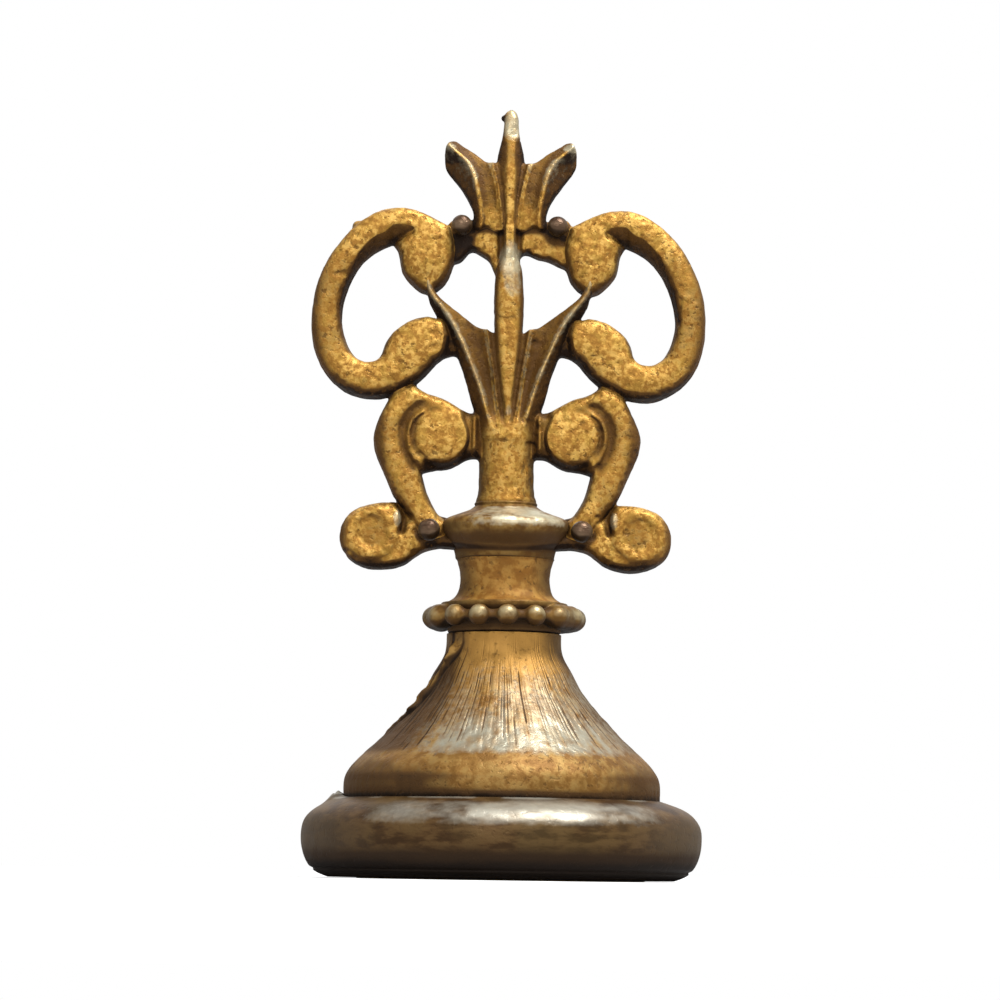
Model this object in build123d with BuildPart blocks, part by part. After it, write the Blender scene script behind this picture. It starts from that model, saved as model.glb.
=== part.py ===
"""Wax seal stamp: a turned foot and bell under a pierced scrollwork handle, drawn up by a hidden rod."""
from build123d import *
import os

os.makedirs("parts", exist_ok=True)

# Foot and screwed ring
foot_rim_width = 3.12
foot_ring_height = 5.85
die_proud = 0.15
lip_height = 1.1
thread_clearance = 0.07
scribe_width = 0.16
scribe_height = 0.55
scribe_share = 0.612

# Seal die
die_flange_width = 1.08
die_lip_clearance = 0.1
die_flange_height = 1.45
hub_height = 3.5
hub_clearance = 0.1
engraving_depth = 0.5
petal_count = 8
petal_base_radius = 2.4
petal_width = 2.0
petal_gap = 2.2
eye_radius = 1.5
border_inset = 1.8
border_bead_radius = 0.45
border_bead_count = 40

# Bell
skirt_radius = 11.88
skirt_wall = 1.68
skirt_room_height = 3.8
waist_radius = 4.3
bell_height = 12.4
bell_crown_height = 4.9
washer_seat_radius = 3.6

# Key between bell and die
key_radius = 0.5
key_clearance = 0.05
key_length = 2.6
key_height = 3.7
key_cover = 0.35

# Collars and neck
bead_collar_height = 2.35
bead_collar_width = 0.95
bead_collar_edge_width = 0.3
bead_radius = 0.8
bead_reach = 0.13
bead_count = 16
neck_height = 3.31
neck_hollow = 0.33
knop_height = 4.04
knop_radius_share = 0.3293
knop_ring_height = 0.25
knop_ring_width = 0.18

# Tie rod
rod_radius = 1.25
rod_clearance = 0.05
rod_tail = 0.6
rod_top_share = 0.215
nut_flats = 5.0
nut_height = 2.2
washer_radius = 3.0
washer_height = 0.6

# Openwork
openwork_half_width = 15.0
openwork_height = 34.4
scroll_depth = 4.0
scroll_edge = 0.4
stem_radius_share = 0.138
stem_top_share = 0.266
tongue_depth = 1.3
groove_width = 0.5
groove_depth = 0.9
lug_radius = 0.85
lug_depth = 3.2
crossbar_depth = 2.2
rib_width = 0.6
rib_depth = 3.4

# Bead-headed pins
lower_pin_head_radius = 0.83
upper_pin_head_radius = 0.77
pin_head_rise = 0.35
pin_radius = 0.45
pin_clearance = 0.05

# Outlines of turned pieces: shares of the radius step and of the height
foot_profile_shares = (
    (0.328, 0.0), (0.672, 0.077), (0.934, 0.282), (1.0, 0.487), (0.951, 0.692), (0.803, 0.803),
    (0.508, 0.906), (0.148, 0.974), (0.0, 1.0),
)
bell_profile_shares = (
    (1.0, 0.024), (0.993, 0.097), (0.917, 0.194), (0.769, 0.290), (0.600, 0.387), (0.4525, 0.484),
    (0.3127, 0.581), (0.194, 0.677), (0.1095, 0.774), (0.021, 0.871), (0.0, 0.935),
)
knop_base_share = 0.75
knop_profile_shares = ((knop_base_share, 0.0), (0.887, 0.149), (1.0, 0.55), (0.98, 0.75))
knop_top_share = 0.48

# Outlines of the openwork: shares of its half width and of its height, one smooth curve for each stretch
c_scroll_shares = (
    (
        (0.300, 0.735), (0.407, 0.760), (0.540, 0.776), (0.680, 0.764), (0.813, 0.722), (0.947, 0.635),
        (0.998, 0.532), (0.944, 0.420), (0.807, 0.362), (0.653, 0.350), (0.527, 0.367), (0.440, 0.391),
        (0.360, 0.428),
    ),
    ((0.360, 0.428), (0.317, 0.455), (0.260, 0.460)),
    ((0.260, 0.460), (0.260, 0.501)),
    ((0.260, 0.501), (0.320, 0.504), (0.407, 0.535)),
    (
        (0.407, 0.535), (0.480, 0.529), (0.560, 0.508), (0.620, 0.472), (0.653, 0.440), (0.707, 0.433),
        (0.773, 0.444), (0.827, 0.487), (0.840, 0.533), (0.810, 0.594), (0.743, 0.648), (0.660, 0.678),
        (0.589, 0.692),
    ),
    (
        (0.589, 0.692), (0.563, 0.676), (0.547, 0.638), (0.493, 0.603), (0.420, 0.584), (0.340, 0.597),
        (0.290, 0.638), (0.273, 0.681), (0.300, 0.735),
    ),
)
s_scroll_shares = (
    (
        (0.473, 0.385), (0.567, 0.367), (0.633, 0.321), (0.673, 0.269), (0.663, 0.233), (0.609, 0.176),
        (0.570, 0.132), (0.540, 0.085), (0.480, 0.049), (0.413, 0.030),
    ),
    ((0.413, 0.030), (0.347, 0.032), (0.293, 0.045)),
    ((0.293, 0.045), (0.293, 0.080)),
    ((0.293, 0.080), (0.329, 0.091)),
    ((0.329, 0.091), (0.370, 0.117), (0.403, 0.150), (0.424, 0.185)),
    ((0.424, 0.185), (0.357, 0.193), (0.289, 0.197), (0.240, 0.208), (0.187, 0.219), (0.120, 0.216)),
    ((0.120, 0.216), (0.120, 0.324)),
    ((0.120, 0.324), (0.193, 0.324), (0.240, 0.333), (0.337, 0.355), (0.405, 0.364), (0.473, 0.385)),
)
s_groove_shares = ((0.361, 0.336), (0.495, 0.290), (0.475, 0.223))
foot_volute_shares = (
    (
        (0.553, 0.123), (0.672, 0.119), (0.780, 0.100), (0.835, 0.053), (0.817, 0.013), (0.738, -0.018),
        (0.607, -0.026), (0.487, -0.010), (0.420, 0.011), (0.327, 0.022),
    ),
    ((0.327, 0.022), (0.260, 0.036)),
    ((0.260, 0.036), (0.260, 0.083)),
    ((0.260, 0.083), (0.383, 0.094), (0.480, 0.085)),
    ((0.480, 0.085), (0.553, 0.123)),
)
crossbar_top_share = 0.742
rib_base_share = 0.702
crossbar_shares = (
    ((0.0, crossbar_top_share), (0.173, crossbar_top_share)),
    (
        (0.173, crossbar_top_share), (0.240, 0.758), (0.303, 0.745), (0.313, 0.713), (0.307, 0.667),
        (0.200, 0.677),
    ),
    ((0.200, 0.677), (0.073, 0.680), (0.0, 0.680)),
)
lower_pin_share = (0.383, 0.058)
upper_pin_share = (0.242, 0.732)

# Leaves: for each section a share of the height, then shares of the half width for its inner edge, ridge
# and outer edge
fan_leaf_shares = (
    (stem_top_share, 0.020, 0.063, 0.136), (0.347, 0.033, 0.113, 0.183), (0.414, 0.050, 0.163, 0.223),
    (0.469, 0.067, 0.210, 0.277), (0.507, 0.080, 0.260, 0.323), (0.551, 0.240, 0.333, 0.383),
    (0.585, 0.333, 0.393, 0.423), (0.607, 0.393, 0.407, 0.423),
)
finial_leaf_shares = (
    (crossbar_top_share, 0.020, 0.080, 0.147), (0.798, 0.027, 0.140, 0.210), (0.833, 0.033, 0.167, 0.271),
    (0.865, 0.040, 0.207, 0.329), (0.885, 0.093, 0.240, 0.335), (0.905, 0.227, 0.280, 0.327),
    (0.923, 0.287, 0.297, 0.310),
)
# Buds: for each section a share of the height, then shares of the half width for its half width and depth
spear_bud_shares = (
    (stem_top_share, 0.027, 0.090), (0.347, 0.041, 0.105), (0.405, 0.055, 0.118), (0.507, 0.091, 0.135),
    (0.612, 0.071, 0.128), (0.649, 0.060, 0.118), (0.676, 0.033, 0.105), (0.698, 0.008, 0.090),
)
centre_leaf_shares = (
    (crossbar_top_share, 0.030, 0.105), (0.783, 0.047, 0.115), (0.840, 0.064, 0.120), (0.888, 0.076, 0.118),
    (0.940, 0.053, 0.090), (0.978, 0.041, 0.055), (1.0, 0.016, 0.022),
)
fan_leaf_depth_shares = (0.100, 0.112, 0.118, 0.120, 0.118, 0.110, 0.100, 0.080)
finial_leaf_depth_shares = (0.085, 0.105, 0.110, 0.105, 0.095, 0.070, 0.030)

# Levels and radii that follow from the sizes above
ring_top_z = die_proud + foot_ring_height
flange_base_z = die_proud + lip_height
flange_top_z = flange_base_z + die_flange_height
bell_top_z = ring_top_z + bell_height
bead_collar_top_z = bell_top_z + bead_collar_height
openwork_base_z = bead_collar_top_z + neck_height
knop_top_z = openwork_base_z + knop_height
stem_base_z = knop_top_z + knop_ring_height
stem_top_z = openwork_base_z + stem_top_share * openwork_height
foot_radius = skirt_radius + foot_rim_width
thread_bore_radius = skirt_radius + thread_clearance
scribe_radius = thread_bore_radius + scribe_share * (foot_radius - thread_bore_radius)
die_face_radius = skirt_radius - die_flange_width
border_radius = die_face_radius - border_inset
petal_tip_radius = border_radius - petal_gap
skirt_bore_radius = skirt_radius - skirt_wall
hub_radius = skirt_bore_radius - hub_clearance
bead_collar_edge_radius = waist_radius + bead_collar_edge_width
bead_collar_radius = waist_radius + bead_collar_width
knop_radius = knop_radius_share * openwork_half_width
neck_end_radius = knop_base_share * knop_radius
neck_waist_radius = neck_end_radius - neck_hollow
stem_radius = stem_radius_share * openwork_half_width
knop_ring_radius = stem_radius + knop_ring_width
rod_bore_radius = rod_radius + rod_clearance
washer_seat_z = bell_top_z - bell_crown_height
nut_top_z = washer_seat_z - washer_height
nut_base_z = nut_top_z - nut_height
rod_base_z = nut_base_z - rod_tail
rod_top_z = openwork_base_z + rod_top_share * openwork_height
crossbar_top_z = openwork_base_z + crossbar_top_share * openwork_height
rib_base_z = openwork_base_z + rib_base_share * openwork_height


def spot(share):
    """Point of the openwork for a pair of shares."""
    across, up = share
    return (across * openwork_half_width, openwork_base_z + up * openwork_height)


def stretches(outline_shares):
    """Lists of points, one list for each smooth stretch of an outline."""
    return [[spot(share) for share in stretch_shares] for stretch_shares in outline_shares]


def turned(profile_shares, inner_radius, outer_radius, base_z, height):
    """Points of a turned outline between two radii, from its base upwards."""
    points = []
    for out, up in profile_shares:
        points.append((inner_radius + out * (outer_radius - inner_radius), base_z + up * height))
    return points


lower_pin_x, lower_pin_z = spot(lower_pin_share)
upper_pin_x, upper_pin_z = spot(upper_pin_share)

# Seal die: flange and hub in the foot, with the engraved face below
with BuildPart() as seal_die:
    with BuildSketch(Plane.XY):
        Circle(die_face_radius)
    extrude(amount=flange_base_z)
    with BuildSketch(Plane.XY.offset(flange_base_z)):
        Circle(skirt_radius)
    extrude(amount=die_flange_height)
    with BuildSketch(Plane.XY.offset(flange_top_z)):
        Circle(hub_radius)
    extrude(amount=hub_height)
    with BuildSketch(Plane.XY):
        Circle(eye_radius)
        with PolarLocations((petal_base_radius + petal_tip_radius) / 2, petal_count):
            Ellipse((petal_tip_radius - petal_base_radius) / 2, petal_width / 2)
        with PolarLocations(border_radius, border_bead_count):
            Circle(border_bead_radius)
    extrude(amount=engraving_depth, mode=Mode.SUBTRACT)
    # Slot in the hub's side for the key, open at the top
    slot_width = 2 * (key_radius + key_clearance)
    slot_base_z = key_height - key_radius - key_clearance
    with BuildSketch(Plane.XY.offset(slot_base_z)):
        with Locations((0, hub_radius)):
            Rectangle(slot_width, 2 * (key_length - skirt_wall + key_cover))
    extrude(until=Until.LAST, mode=Mode.SUBTRACT)
seal_die.part.label = "seal_die"

# Foot ring: rounded outside, lip below, plain bore that stands for its thread
foot_points = turned(foot_profile_shares, thread_bore_radius, foot_radius, die_proud, foot_ring_height)
with BuildPart() as foot_ring:
    with BuildSketch(Plane.XZ):
        with BuildLine():
            Spline(*foot_points)
            Polyline(
                foot_points[-1],
                (thread_bore_radius, flange_base_z),
                (die_face_radius + die_lip_clearance, flange_base_z),
                (die_face_radius + die_lip_clearance, die_proud),
                foot_points[0],
            )
        make_face()
    revolve(axis=Axis.Z)
    # Scribed line near the lower edge
    with BuildSketch(Plane.XY.offset(die_proud + scribe_height)):
        Circle(foot_radius)
        Circle(scribe_radius, mode=Mode.SUBTRACT)
    extrude(amount=scribe_width, mode=Mode.SUBTRACT)
foot_ring.part.label = "foot_ring"

# Bell: solid crown over a hollow skirt, with the foot ring's thread outside it
bell_points = turned(bell_profile_shares, waist_radius, skirt_radius, ring_top_z, bell_height)
with BuildPart() as bell_shell:
    with BuildSketch(Plane.XZ):
        with BuildLine():
            Polyline(
                (waist_radius, bell_top_z),
                (rod_bore_radius, bell_top_z),
                (rod_bore_radius, washer_seat_z),
                (washer_seat_radius, washer_seat_z),
                (skirt_bore_radius, flange_top_z + skirt_room_height),
                (skirt_bore_radius, flange_top_z),
                (skirt_radius, flange_top_z),
                bell_points[0],
            )
            Spline(*bell_points)
            Line(bell_points[-1], (waist_radius, bell_top_z))
        make_face()
    revolve(axis=Axis.Z)
    # Hole for the key through the skirt
    with BuildSketch(Plane.XZ.offset(-skirt_bore_radius + key_cover)):
        with Locations((0, key_height)):
            Circle(key_radius)
    extrude(amount=-(skirt_wall + key_cover), mode=Mode.SUBTRACT)
bell_shell.part.label = "bell_shell"

# Key pin: from just under the thread's crest into the hub's slot
key_outer_y = skirt_radius - key_cover
with BuildPart() as die_key_pin:
    with BuildSketch(Plane.XZ.offset(-key_outer_y)):
        with Locations((0, key_height)):
            Circle(key_radius)
    extrude(amount=key_length)
die_key_pin.part.label = "die_key_pin"

# Bead collar
bead_centre_radius = bead_collar_radius + bead_reach
with BuildPart() as bead_collar:
    with BuildSketch(Plane.XZ):
        with BuildLine():
            Polyline(
                (rod_bore_radius, bell_top_z),
                (bead_collar_edge_radius, bell_top_z),
                (bead_collar_radius, bell_top_z + bead_collar_height / 4),
                (bead_collar_radius, bead_collar_top_z - bead_collar_height / 4),
                (bead_collar_edge_radius, bead_collar_top_z),
                (rod_bore_radius, bead_collar_top_z),
                close=True,
            )
        make_face()
    revolve(axis=Axis.Z)
    with Locations((0, 0, bell_top_z + bead_collar_height / 2)):
        with PolarLocations(bead_centre_radius, bead_count):
            Sphere(bead_radius)
bead_collar.part.label = "bead_collar"

# Neck
with BuildPart() as neck_tube:
    with BuildSketch(Plane.XZ):
        with BuildLine():
            ThreePointArc(
                (neck_end_radius, bead_collar_top_z),
                (neck_waist_radius, bead_collar_top_z + neck_height / 2),
                (neck_end_radius, openwork_base_z),
            )
            Polyline(
                (neck_end_radius, openwork_base_z),
                (rod_bore_radius, openwork_base_z),
                (rod_bore_radius, bead_collar_top_z),
                (neck_end_radius, bead_collar_top_z),
            )
        make_face()
    revolve(axis=Axis.Z)
neck_tube.part.label = "neck_tube"

# Outline of the foot volute, used again to cut the slots that its tongue fills
with BuildSketch(Plane.XZ) as foot_volute_face:
    with BuildLine():
        for points in stretches(foot_volute_shares):
            Spline(*points)
    make_face()

# Knop: bowl with a thin ring on top and a mortise each side for the tongue of a foot volute
knop_points = turned(knop_profile_shares, 0, knop_radius, openwork_base_z, knop_height)
with BuildPart() as knop_collar:
    with BuildSketch(Plane.XZ):
        with BuildLine():
            Spline(*knop_points)
            Polyline(
                knop_points[-1],
                (knop_top_share * knop_radius, knop_top_z),
                (knop_ring_radius, knop_top_z),
                (knop_ring_radius, stem_base_z),
                (rod_bore_radius, stem_base_z),
                (rod_bore_radius, openwork_base_z),
                knop_points[0],
            )
        make_face()
    revolve(axis=Axis.Z)
    extrude(foot_volute_face.sketch, amount=tongue_depth / 2, both=True, mode=Mode.SUBTRACT)
    left_volute_face = mirror(foot_volute_face.sketch, about=Plane.YZ, mode=Mode.PRIVATE)
    extrude(left_volute_face, amount=tongue_depth / 2, both=True, mode=Mode.SUBTRACT)
knop_collar.part.label = "knop_collar"

# Tie rod, with its nut and washer inside the bell
with BuildPart() as tie_rod:
    with BuildSketch(Plane.XY.offset(rod_base_z)):
        Circle(rod_radius)
    extrude(amount=rod_top_z - rod_base_z)
tie_rod.part.label = "tie_rod"

with BuildPart() as tie_nut:
    with BuildSketch(Plane.XY.offset(nut_base_z)):
        RegularPolygon(nut_flats / 2, 6, major_radius=False)
        Circle(rod_bore_radius, mode=Mode.SUBTRACT)
    extrude(amount=nut_height)
tie_nut.part.label = "tie_nut"

with BuildPart() as tie_washer:
    with BuildSketch(Plane.XY.offset(nut_top_z)):
        Circle(washer_radius)
        Circle(rod_bore_radius, mode=Mode.SUBTRACT)
    extrude(amount=washer_height)
tie_washer.part.label = "tie_washer"

# Stem, with a blind bore for the rod
with BuildPart() as stem:
    with BuildSketch(Plane.XY.offset(stem_base_z)):
        Circle(stem_radius)
    extrude(amount=stem_top_z - stem_base_z)
    with BuildSketch(Plane.XY.offset(stem_base_z)):
        Circle(rod_bore_radius)
    extrude(amount=rod_top_z - stem_base_z, mode=Mode.SUBTRACT)
stem.part.label = "stem"


def bud(section_shares):
    """Loft of ellipses up the middle, one for each row of shares: height, half width and half depth."""
    sections = []
    for up, across, deep in section_shares:
        section_z = openwork_base_z + up * openwork_height
        with BuildSketch(Plane.XY.offset(section_z)) as section:
            Ellipse(across * openwork_half_width, deep * openwork_half_width)
        sections.append(section.sketch)
    loft(sections, ruled=True)


def leaf(section_shares, depth_shares):
    """Loft of four-cornered sections: inner edge, front ridge, outer edge and back ridge."""
    sections = []
    for (up, inner, ridge, outer), deep in zip(section_shares, depth_shares):
        section_z = openwork_base_z + up * openwork_height
        half_depth = deep * openwork_half_width
        with BuildSketch(Plane.XY.offset(section_z)) as section:
            with BuildLine():
                Polyline(
                    (inner * openwork_half_width, 0),
                    (ridge * openwork_half_width, -half_depth),
                    (outer * openwork_half_width, 0),
                    (ridge * openwork_half_width, half_depth),
                    close=True,
                )
            make_face()
        sections.append(section.sketch)
    loft(sections, ruled=True)


# Buds
with BuildPart() as spear_bud:
    bud(spear_bud_shares)
spear_bud.part.label = "spear_bud"

with BuildPart() as finial_centre_leaf:
    bud(centre_leaf_shares)
finial_centre_leaf.part.label = "finial_centre_leaf"

# Pins: a shank through the joint and a bead at each end, seated flat on the lug
def bead_pin(pin_x, pin_z, head_radius, seat_depth):
    """Bead-headed pin through the openwork at a place given in x and z."""
    head_y = seat_depth / 2 + pin_head_rise
    with Locations((pin_x, -head_y, pin_z), (pin_x, head_y, pin_z)):
        Sphere(head_radius)
    with Locations((pin_x, 0, pin_z)):
        Box(2 * head_radius, seat_depth, 2 * head_radius, mode=Mode.SUBTRACT)
        Cylinder(pin_radius, seat_depth, rotation=(90, 0, 0))


with BuildPart() as lower_right_pin:
    bead_pin(lower_pin_x, lower_pin_z, lower_pin_head_radius, scroll_depth)
lower_right_pin.part.label = "lower_right_pin"

with BuildPart() as upper_right_pin:
    bead_pin(upper_pin_x, upper_pin_z, upper_pin_head_radius, lug_depth)
upper_right_pin.part.label = "upper_right_pin"

# Outline of the crossbar, used again to cut the slots that its tongues fill
with BuildSketch(Plane.XZ) as crossbar_face:
    with BuildLine():
        for points in stretches(crossbar_shares):
            Spline(*points)
        mirror(about=Plane.YZ)
    make_face()

# Outlines of the two scrolls, used again to cut what butts against them
with BuildSketch(Plane.XZ) as c_scroll_face:
    with BuildLine():
        for points in stretches(c_scroll_shares):
            Spline(*points)
    make_face()

with BuildSketch(Plane.XZ) as s_scroll_face:
    with BuildLine():
        for points in stretches(s_scroll_shares):
            Spline(*points)
    make_face()

# C scroll: band and two volutes in one plate, with a lug for the upper pin
with BuildPart() as right_c_scroll:
    extrude(c_scroll_face.sketch, amount=scroll_depth / 2, both=True)
    chamfer(faces().sort_by(Axis.Y)[0].edges(), scroll_edge)
    chamfer(faces().sort_by(Axis.Y)[-1].edges(), scroll_edge)
    with BuildSketch(Plane.XZ):
        with Locations((upper_pin_x, upper_pin_z)):
            Circle(lug_radius)
        with Locations((upper_pin_x + lug_radius, upper_pin_z - lug_radius / 2)):
            Rectangle(2 * lug_radius, lug_radius)
    extrude(amount=lug_depth / 2, both=True)
    extrude(crossbar_face.sketch, amount=tongue_depth / 2, both=True, mode=Mode.SUBTRACT)
    with Locations((upper_pin_x, 0, upper_pin_z)):
        Cylinder(pin_radius + pin_clearance, lug_depth, rotation=(90, 0, 0), mode=Mode.SUBTRACT)
right_c_scroll.part.label = "right_c_scroll"

# S scroll: band and inner disc with a crescent groove between them, forked at its foot
with BuildPart() as right_s_scroll:
    extrude(s_scroll_face.sketch, amount=scroll_depth / 2, both=True)
    chamfer(faces().sort_by(Axis.Y)[0].edges(), scroll_edge)
    chamfer(faces().sort_by(Axis.Y)[-1].edges(), scroll_edge)
    for face_plane in (Plane.XZ.offset(scroll_depth / 2), Plane.XZ.offset(groove_depth - scroll_depth / 2)):
        with BuildSketch(face_plane):
            with BuildLine():
                groove_arc = ThreePointArc(*[spot(share) for share in s_groove_shares])
            SlotArc(groove_arc, groove_width)
        extrude(amount=-groove_depth, mode=Mode.SUBTRACT)
    extrude(foot_volute_face.sketch, amount=tongue_depth / 2, both=True, mode=Mode.SUBTRACT)
    with Locations((lower_pin_x, 0, lower_pin_z)):
        Cylinder(pin_radius + pin_clearance, scroll_depth, rotation=(90, 0, 0), mode=Mode.SUBTRACT)
    extrude(c_scroll_face.sketch, amount=scroll_depth / 2, both=True, mode=Mode.SUBTRACT)
    add(knop_collar.part, mode=Mode.SUBTRACT)
    add(stem.part, mode=Mode.SUBTRACT)
right_s_scroll.part.label = "right_s_scroll"

# Room that the two cheeks of the S scroll's fork take from the foot volute
with BuildPart() as fork_cheeks:
    extrude(s_scroll_face.sketch, amount=scroll_depth / 2, both=True)
    extrude(foot_volute_face.sketch, amount=tongue_depth / 2, both=True, mode=Mode.SUBTRACT)

# Foot volute: curled end, with a tongue through the fork of the S scroll into the knop
with BuildPart() as right_foot_volute:
    extrude(foot_volute_face.sketch, amount=scroll_depth / 2, both=True)
    chamfer(faces().sort_by(Axis.Y)[0].edges(), scroll_edge)
    chamfer(faces().sort_by(Axis.Y)[-1].edges(), scroll_edge)
    with Locations((lower_pin_x, 0, lower_pin_z)):
        Cylinder(pin_radius + pin_clearance, scroll_depth, rotation=(90, 0, 0), mode=Mode.SUBTRACT)
    add(fork_cheeks.part, mode=Mode.SUBTRACT)
    add(knop_collar.part, mode=Mode.SUBTRACT)
right_foot_volute.part.label = "right_foot_volute"

# Crossbar: let in behind the tips of the buds, with a tongue at each end for an upper pin
with BuildPart() as top_crossbar:
    extrude(crossbar_face.sketch, amount=crossbar_depth / 2, both=True)
    with Locations((upper_pin_x, 0, upper_pin_z), (-upper_pin_x, 0, upper_pin_z)):
        Cylinder(pin_radius + pin_clearance, crossbar_depth, rotation=(90, 0, 0), mode=Mode.SUBTRACT)
    add(right_c_scroll.part, mode=Mode.SUBTRACT)
    add(mirror(right_c_scroll.part, about=Plane.YZ, mode=Mode.PRIVATE), mode=Mode.SUBTRACT)
    add(spear_bud.part, mode=Mode.SUBTRACT)
    # Rib up its middle, front and back, under the centre leaf
    with BuildSketch(Plane.XY.offset(rib_base_z)):
        Rectangle(rib_width, rib_depth)
    extrude(amount=crossbar_top_z - rib_base_z)
top_crossbar.part.label = "top_crossbar"

# Leaves
with BuildPart() as right_fan_leaf:
    leaf(fan_leaf_shares, fan_leaf_depth_shares)
    add(spear_bud.part, mode=Mode.SUBTRACT)
    extrude(c_scroll_face.sketch, amount=scroll_depth / 2, both=True, mode=Mode.SUBTRACT)
    extrude(s_scroll_face.sketch, amount=scroll_depth / 2, both=True, mode=Mode.SUBTRACT)
right_fan_leaf.part.label = "right_fan_leaf"

with BuildPart() as finial_right_leaf:
    leaf(finial_leaf_shares, finial_leaf_depth_shares)
    add(finial_centre_leaf.part, mode=Mode.SUBTRACT)
finial_right_leaf.part.label = "finial_right_leaf"

# Left-hand pieces
left_pieces = []
for right_piece in (
    right_c_scroll, right_s_scroll, right_foot_volute, right_fan_leaf, finial_right_leaf, lower_right_pin,
    upper_right_pin,
):
    with BuildPart() as left_piece:
        mirror(right_piece.part, about=Plane.YZ)
    left_piece.part.label = right_piece.part.label.replace("right", "left")
    left_pieces.append(left_piece)

for piece in (
    seal_die, foot_ring, bell_shell, die_key_pin, bead_collar, neck_tube, knop_collar, tie_rod, tie_nut,
    tie_washer, stem, spear_bud, finial_centre_leaf, top_crossbar, right_c_scroll, right_s_scroll,
    right_foot_volute, right_fan_leaf, finial_right_leaf, lower_right_pin, upper_right_pin, *left_pieces,
):
    export_step(piece.part, f"parts/{piece.part.label}.step")
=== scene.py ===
"""Looks of a small gilt seal stamp: turned foot and bell, beaded collar, knop and pierced scroll handle.

Sizes are in millimetres and become metres when a mesh is made. X runs across the flat of the handle, -Y is its
front and Z runs up from the surface that the die rests on.
"""

import logging
import math
from dataclasses import dataclass, field, replace
from enum import Enum
from typing import Callable

import bpy
import numpy as np
from mathutils import Matrix, Vector

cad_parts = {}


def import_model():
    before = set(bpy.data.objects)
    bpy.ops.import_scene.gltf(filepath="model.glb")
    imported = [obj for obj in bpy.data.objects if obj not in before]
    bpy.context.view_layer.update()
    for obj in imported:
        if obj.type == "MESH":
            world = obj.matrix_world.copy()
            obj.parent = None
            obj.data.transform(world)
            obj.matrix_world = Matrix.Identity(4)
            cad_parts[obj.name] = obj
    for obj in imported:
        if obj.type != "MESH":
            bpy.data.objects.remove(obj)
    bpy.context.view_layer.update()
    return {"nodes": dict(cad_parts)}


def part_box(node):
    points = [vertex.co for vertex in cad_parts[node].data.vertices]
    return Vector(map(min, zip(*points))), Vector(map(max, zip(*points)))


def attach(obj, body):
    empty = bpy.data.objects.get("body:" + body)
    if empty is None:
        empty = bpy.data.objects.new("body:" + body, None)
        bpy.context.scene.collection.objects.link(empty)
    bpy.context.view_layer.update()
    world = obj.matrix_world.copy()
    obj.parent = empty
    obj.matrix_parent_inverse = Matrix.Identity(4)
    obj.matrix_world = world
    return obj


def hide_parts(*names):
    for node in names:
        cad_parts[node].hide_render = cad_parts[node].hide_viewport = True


LOG = logging.getLogger("seal")
MM = 0.001
TURN = 2 * math.pi
Points = list[tuple[float, float]]


class Side(Enum):
    """Which half of the handle a piece belongs to; the value is the sign of its X."""

    LEFT = -1
    RIGHT = 1

    @property
    def word(self) -> str:
        """The side's name as the node names spell it."""
        return self.name.lower()


# Arithmetic on whole arrays


def ease(low: float, high: float, value: np.ndarray) -> np.ndarray:
    """Smooth step from 0 at low to 1 at high."""
    share = np.clip((value - low) / (high - low), 0, 1)
    return share * share * (3 - 2 * share)


def bump(value: np.ndarray, width: float) -> np.ndarray:
    """Bell curve of height 1 about zero."""
    return np.exp(-np.square(value / width))


def spline(points: Points, step: float = 0.06) -> np.ndarray:
    """Natural cubic spline through points, by chord length.

    Args:
        points: Points that the curve passes through.
        step: Distance between the samples.

    Returns:
        Samples along the curve, one per row.
    """
    knots = np.array(points, float)
    chord = np.hypot(*np.diff(knots, axis=0).T)
    at = np.concatenate([[0], np.cumsum(chord)])
    count = len(knots)
    samples = np.linspace(0, at[-1], max(3, int(at[-1] / step) + 1))
    if count < 3:
        return np.stack([np.interp(samples, at, knots[:, axis]) for axis in (0, 1)], 1)
    system = np.eye(count)
    right = np.zeros((count, 2))
    for row in range(1, count - 1):
        before, after = chord[row - 1], chord[row]
        system[row, row - 1 : row + 2] = before, 2 * (before + after), after
        right[row] = 6 * ((knots[row + 1] - knots[row]) / after - (knots[row] - knots[row - 1]) / before)
    bend = np.linalg.solve(system, right)
    span = np.clip(np.searchsorted(at, samples, side="right") - 1, 0, count - 2)
    width = chord[span][:, None]
    to_next = (at[span + 1] - samples)[:, None]
    from_last = (samples - at[span])[:, None]
    return (
        (bend[span] * to_next**3 + bend[span + 1] * from_last**3) / (6 * width)
        + (knots[span] / width - bend[span] * width / 6) * to_next
        + (knots[span + 1] / width - bend[span + 1] * width / 6) * from_last
    )


def outline(stretches: list[Points]) -> np.ndarray:
    """Closed outline from smooth stretches that share their end points."""
    return np.concatenate([spline(stretch)[:-1] for stretch in stretches])


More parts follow.
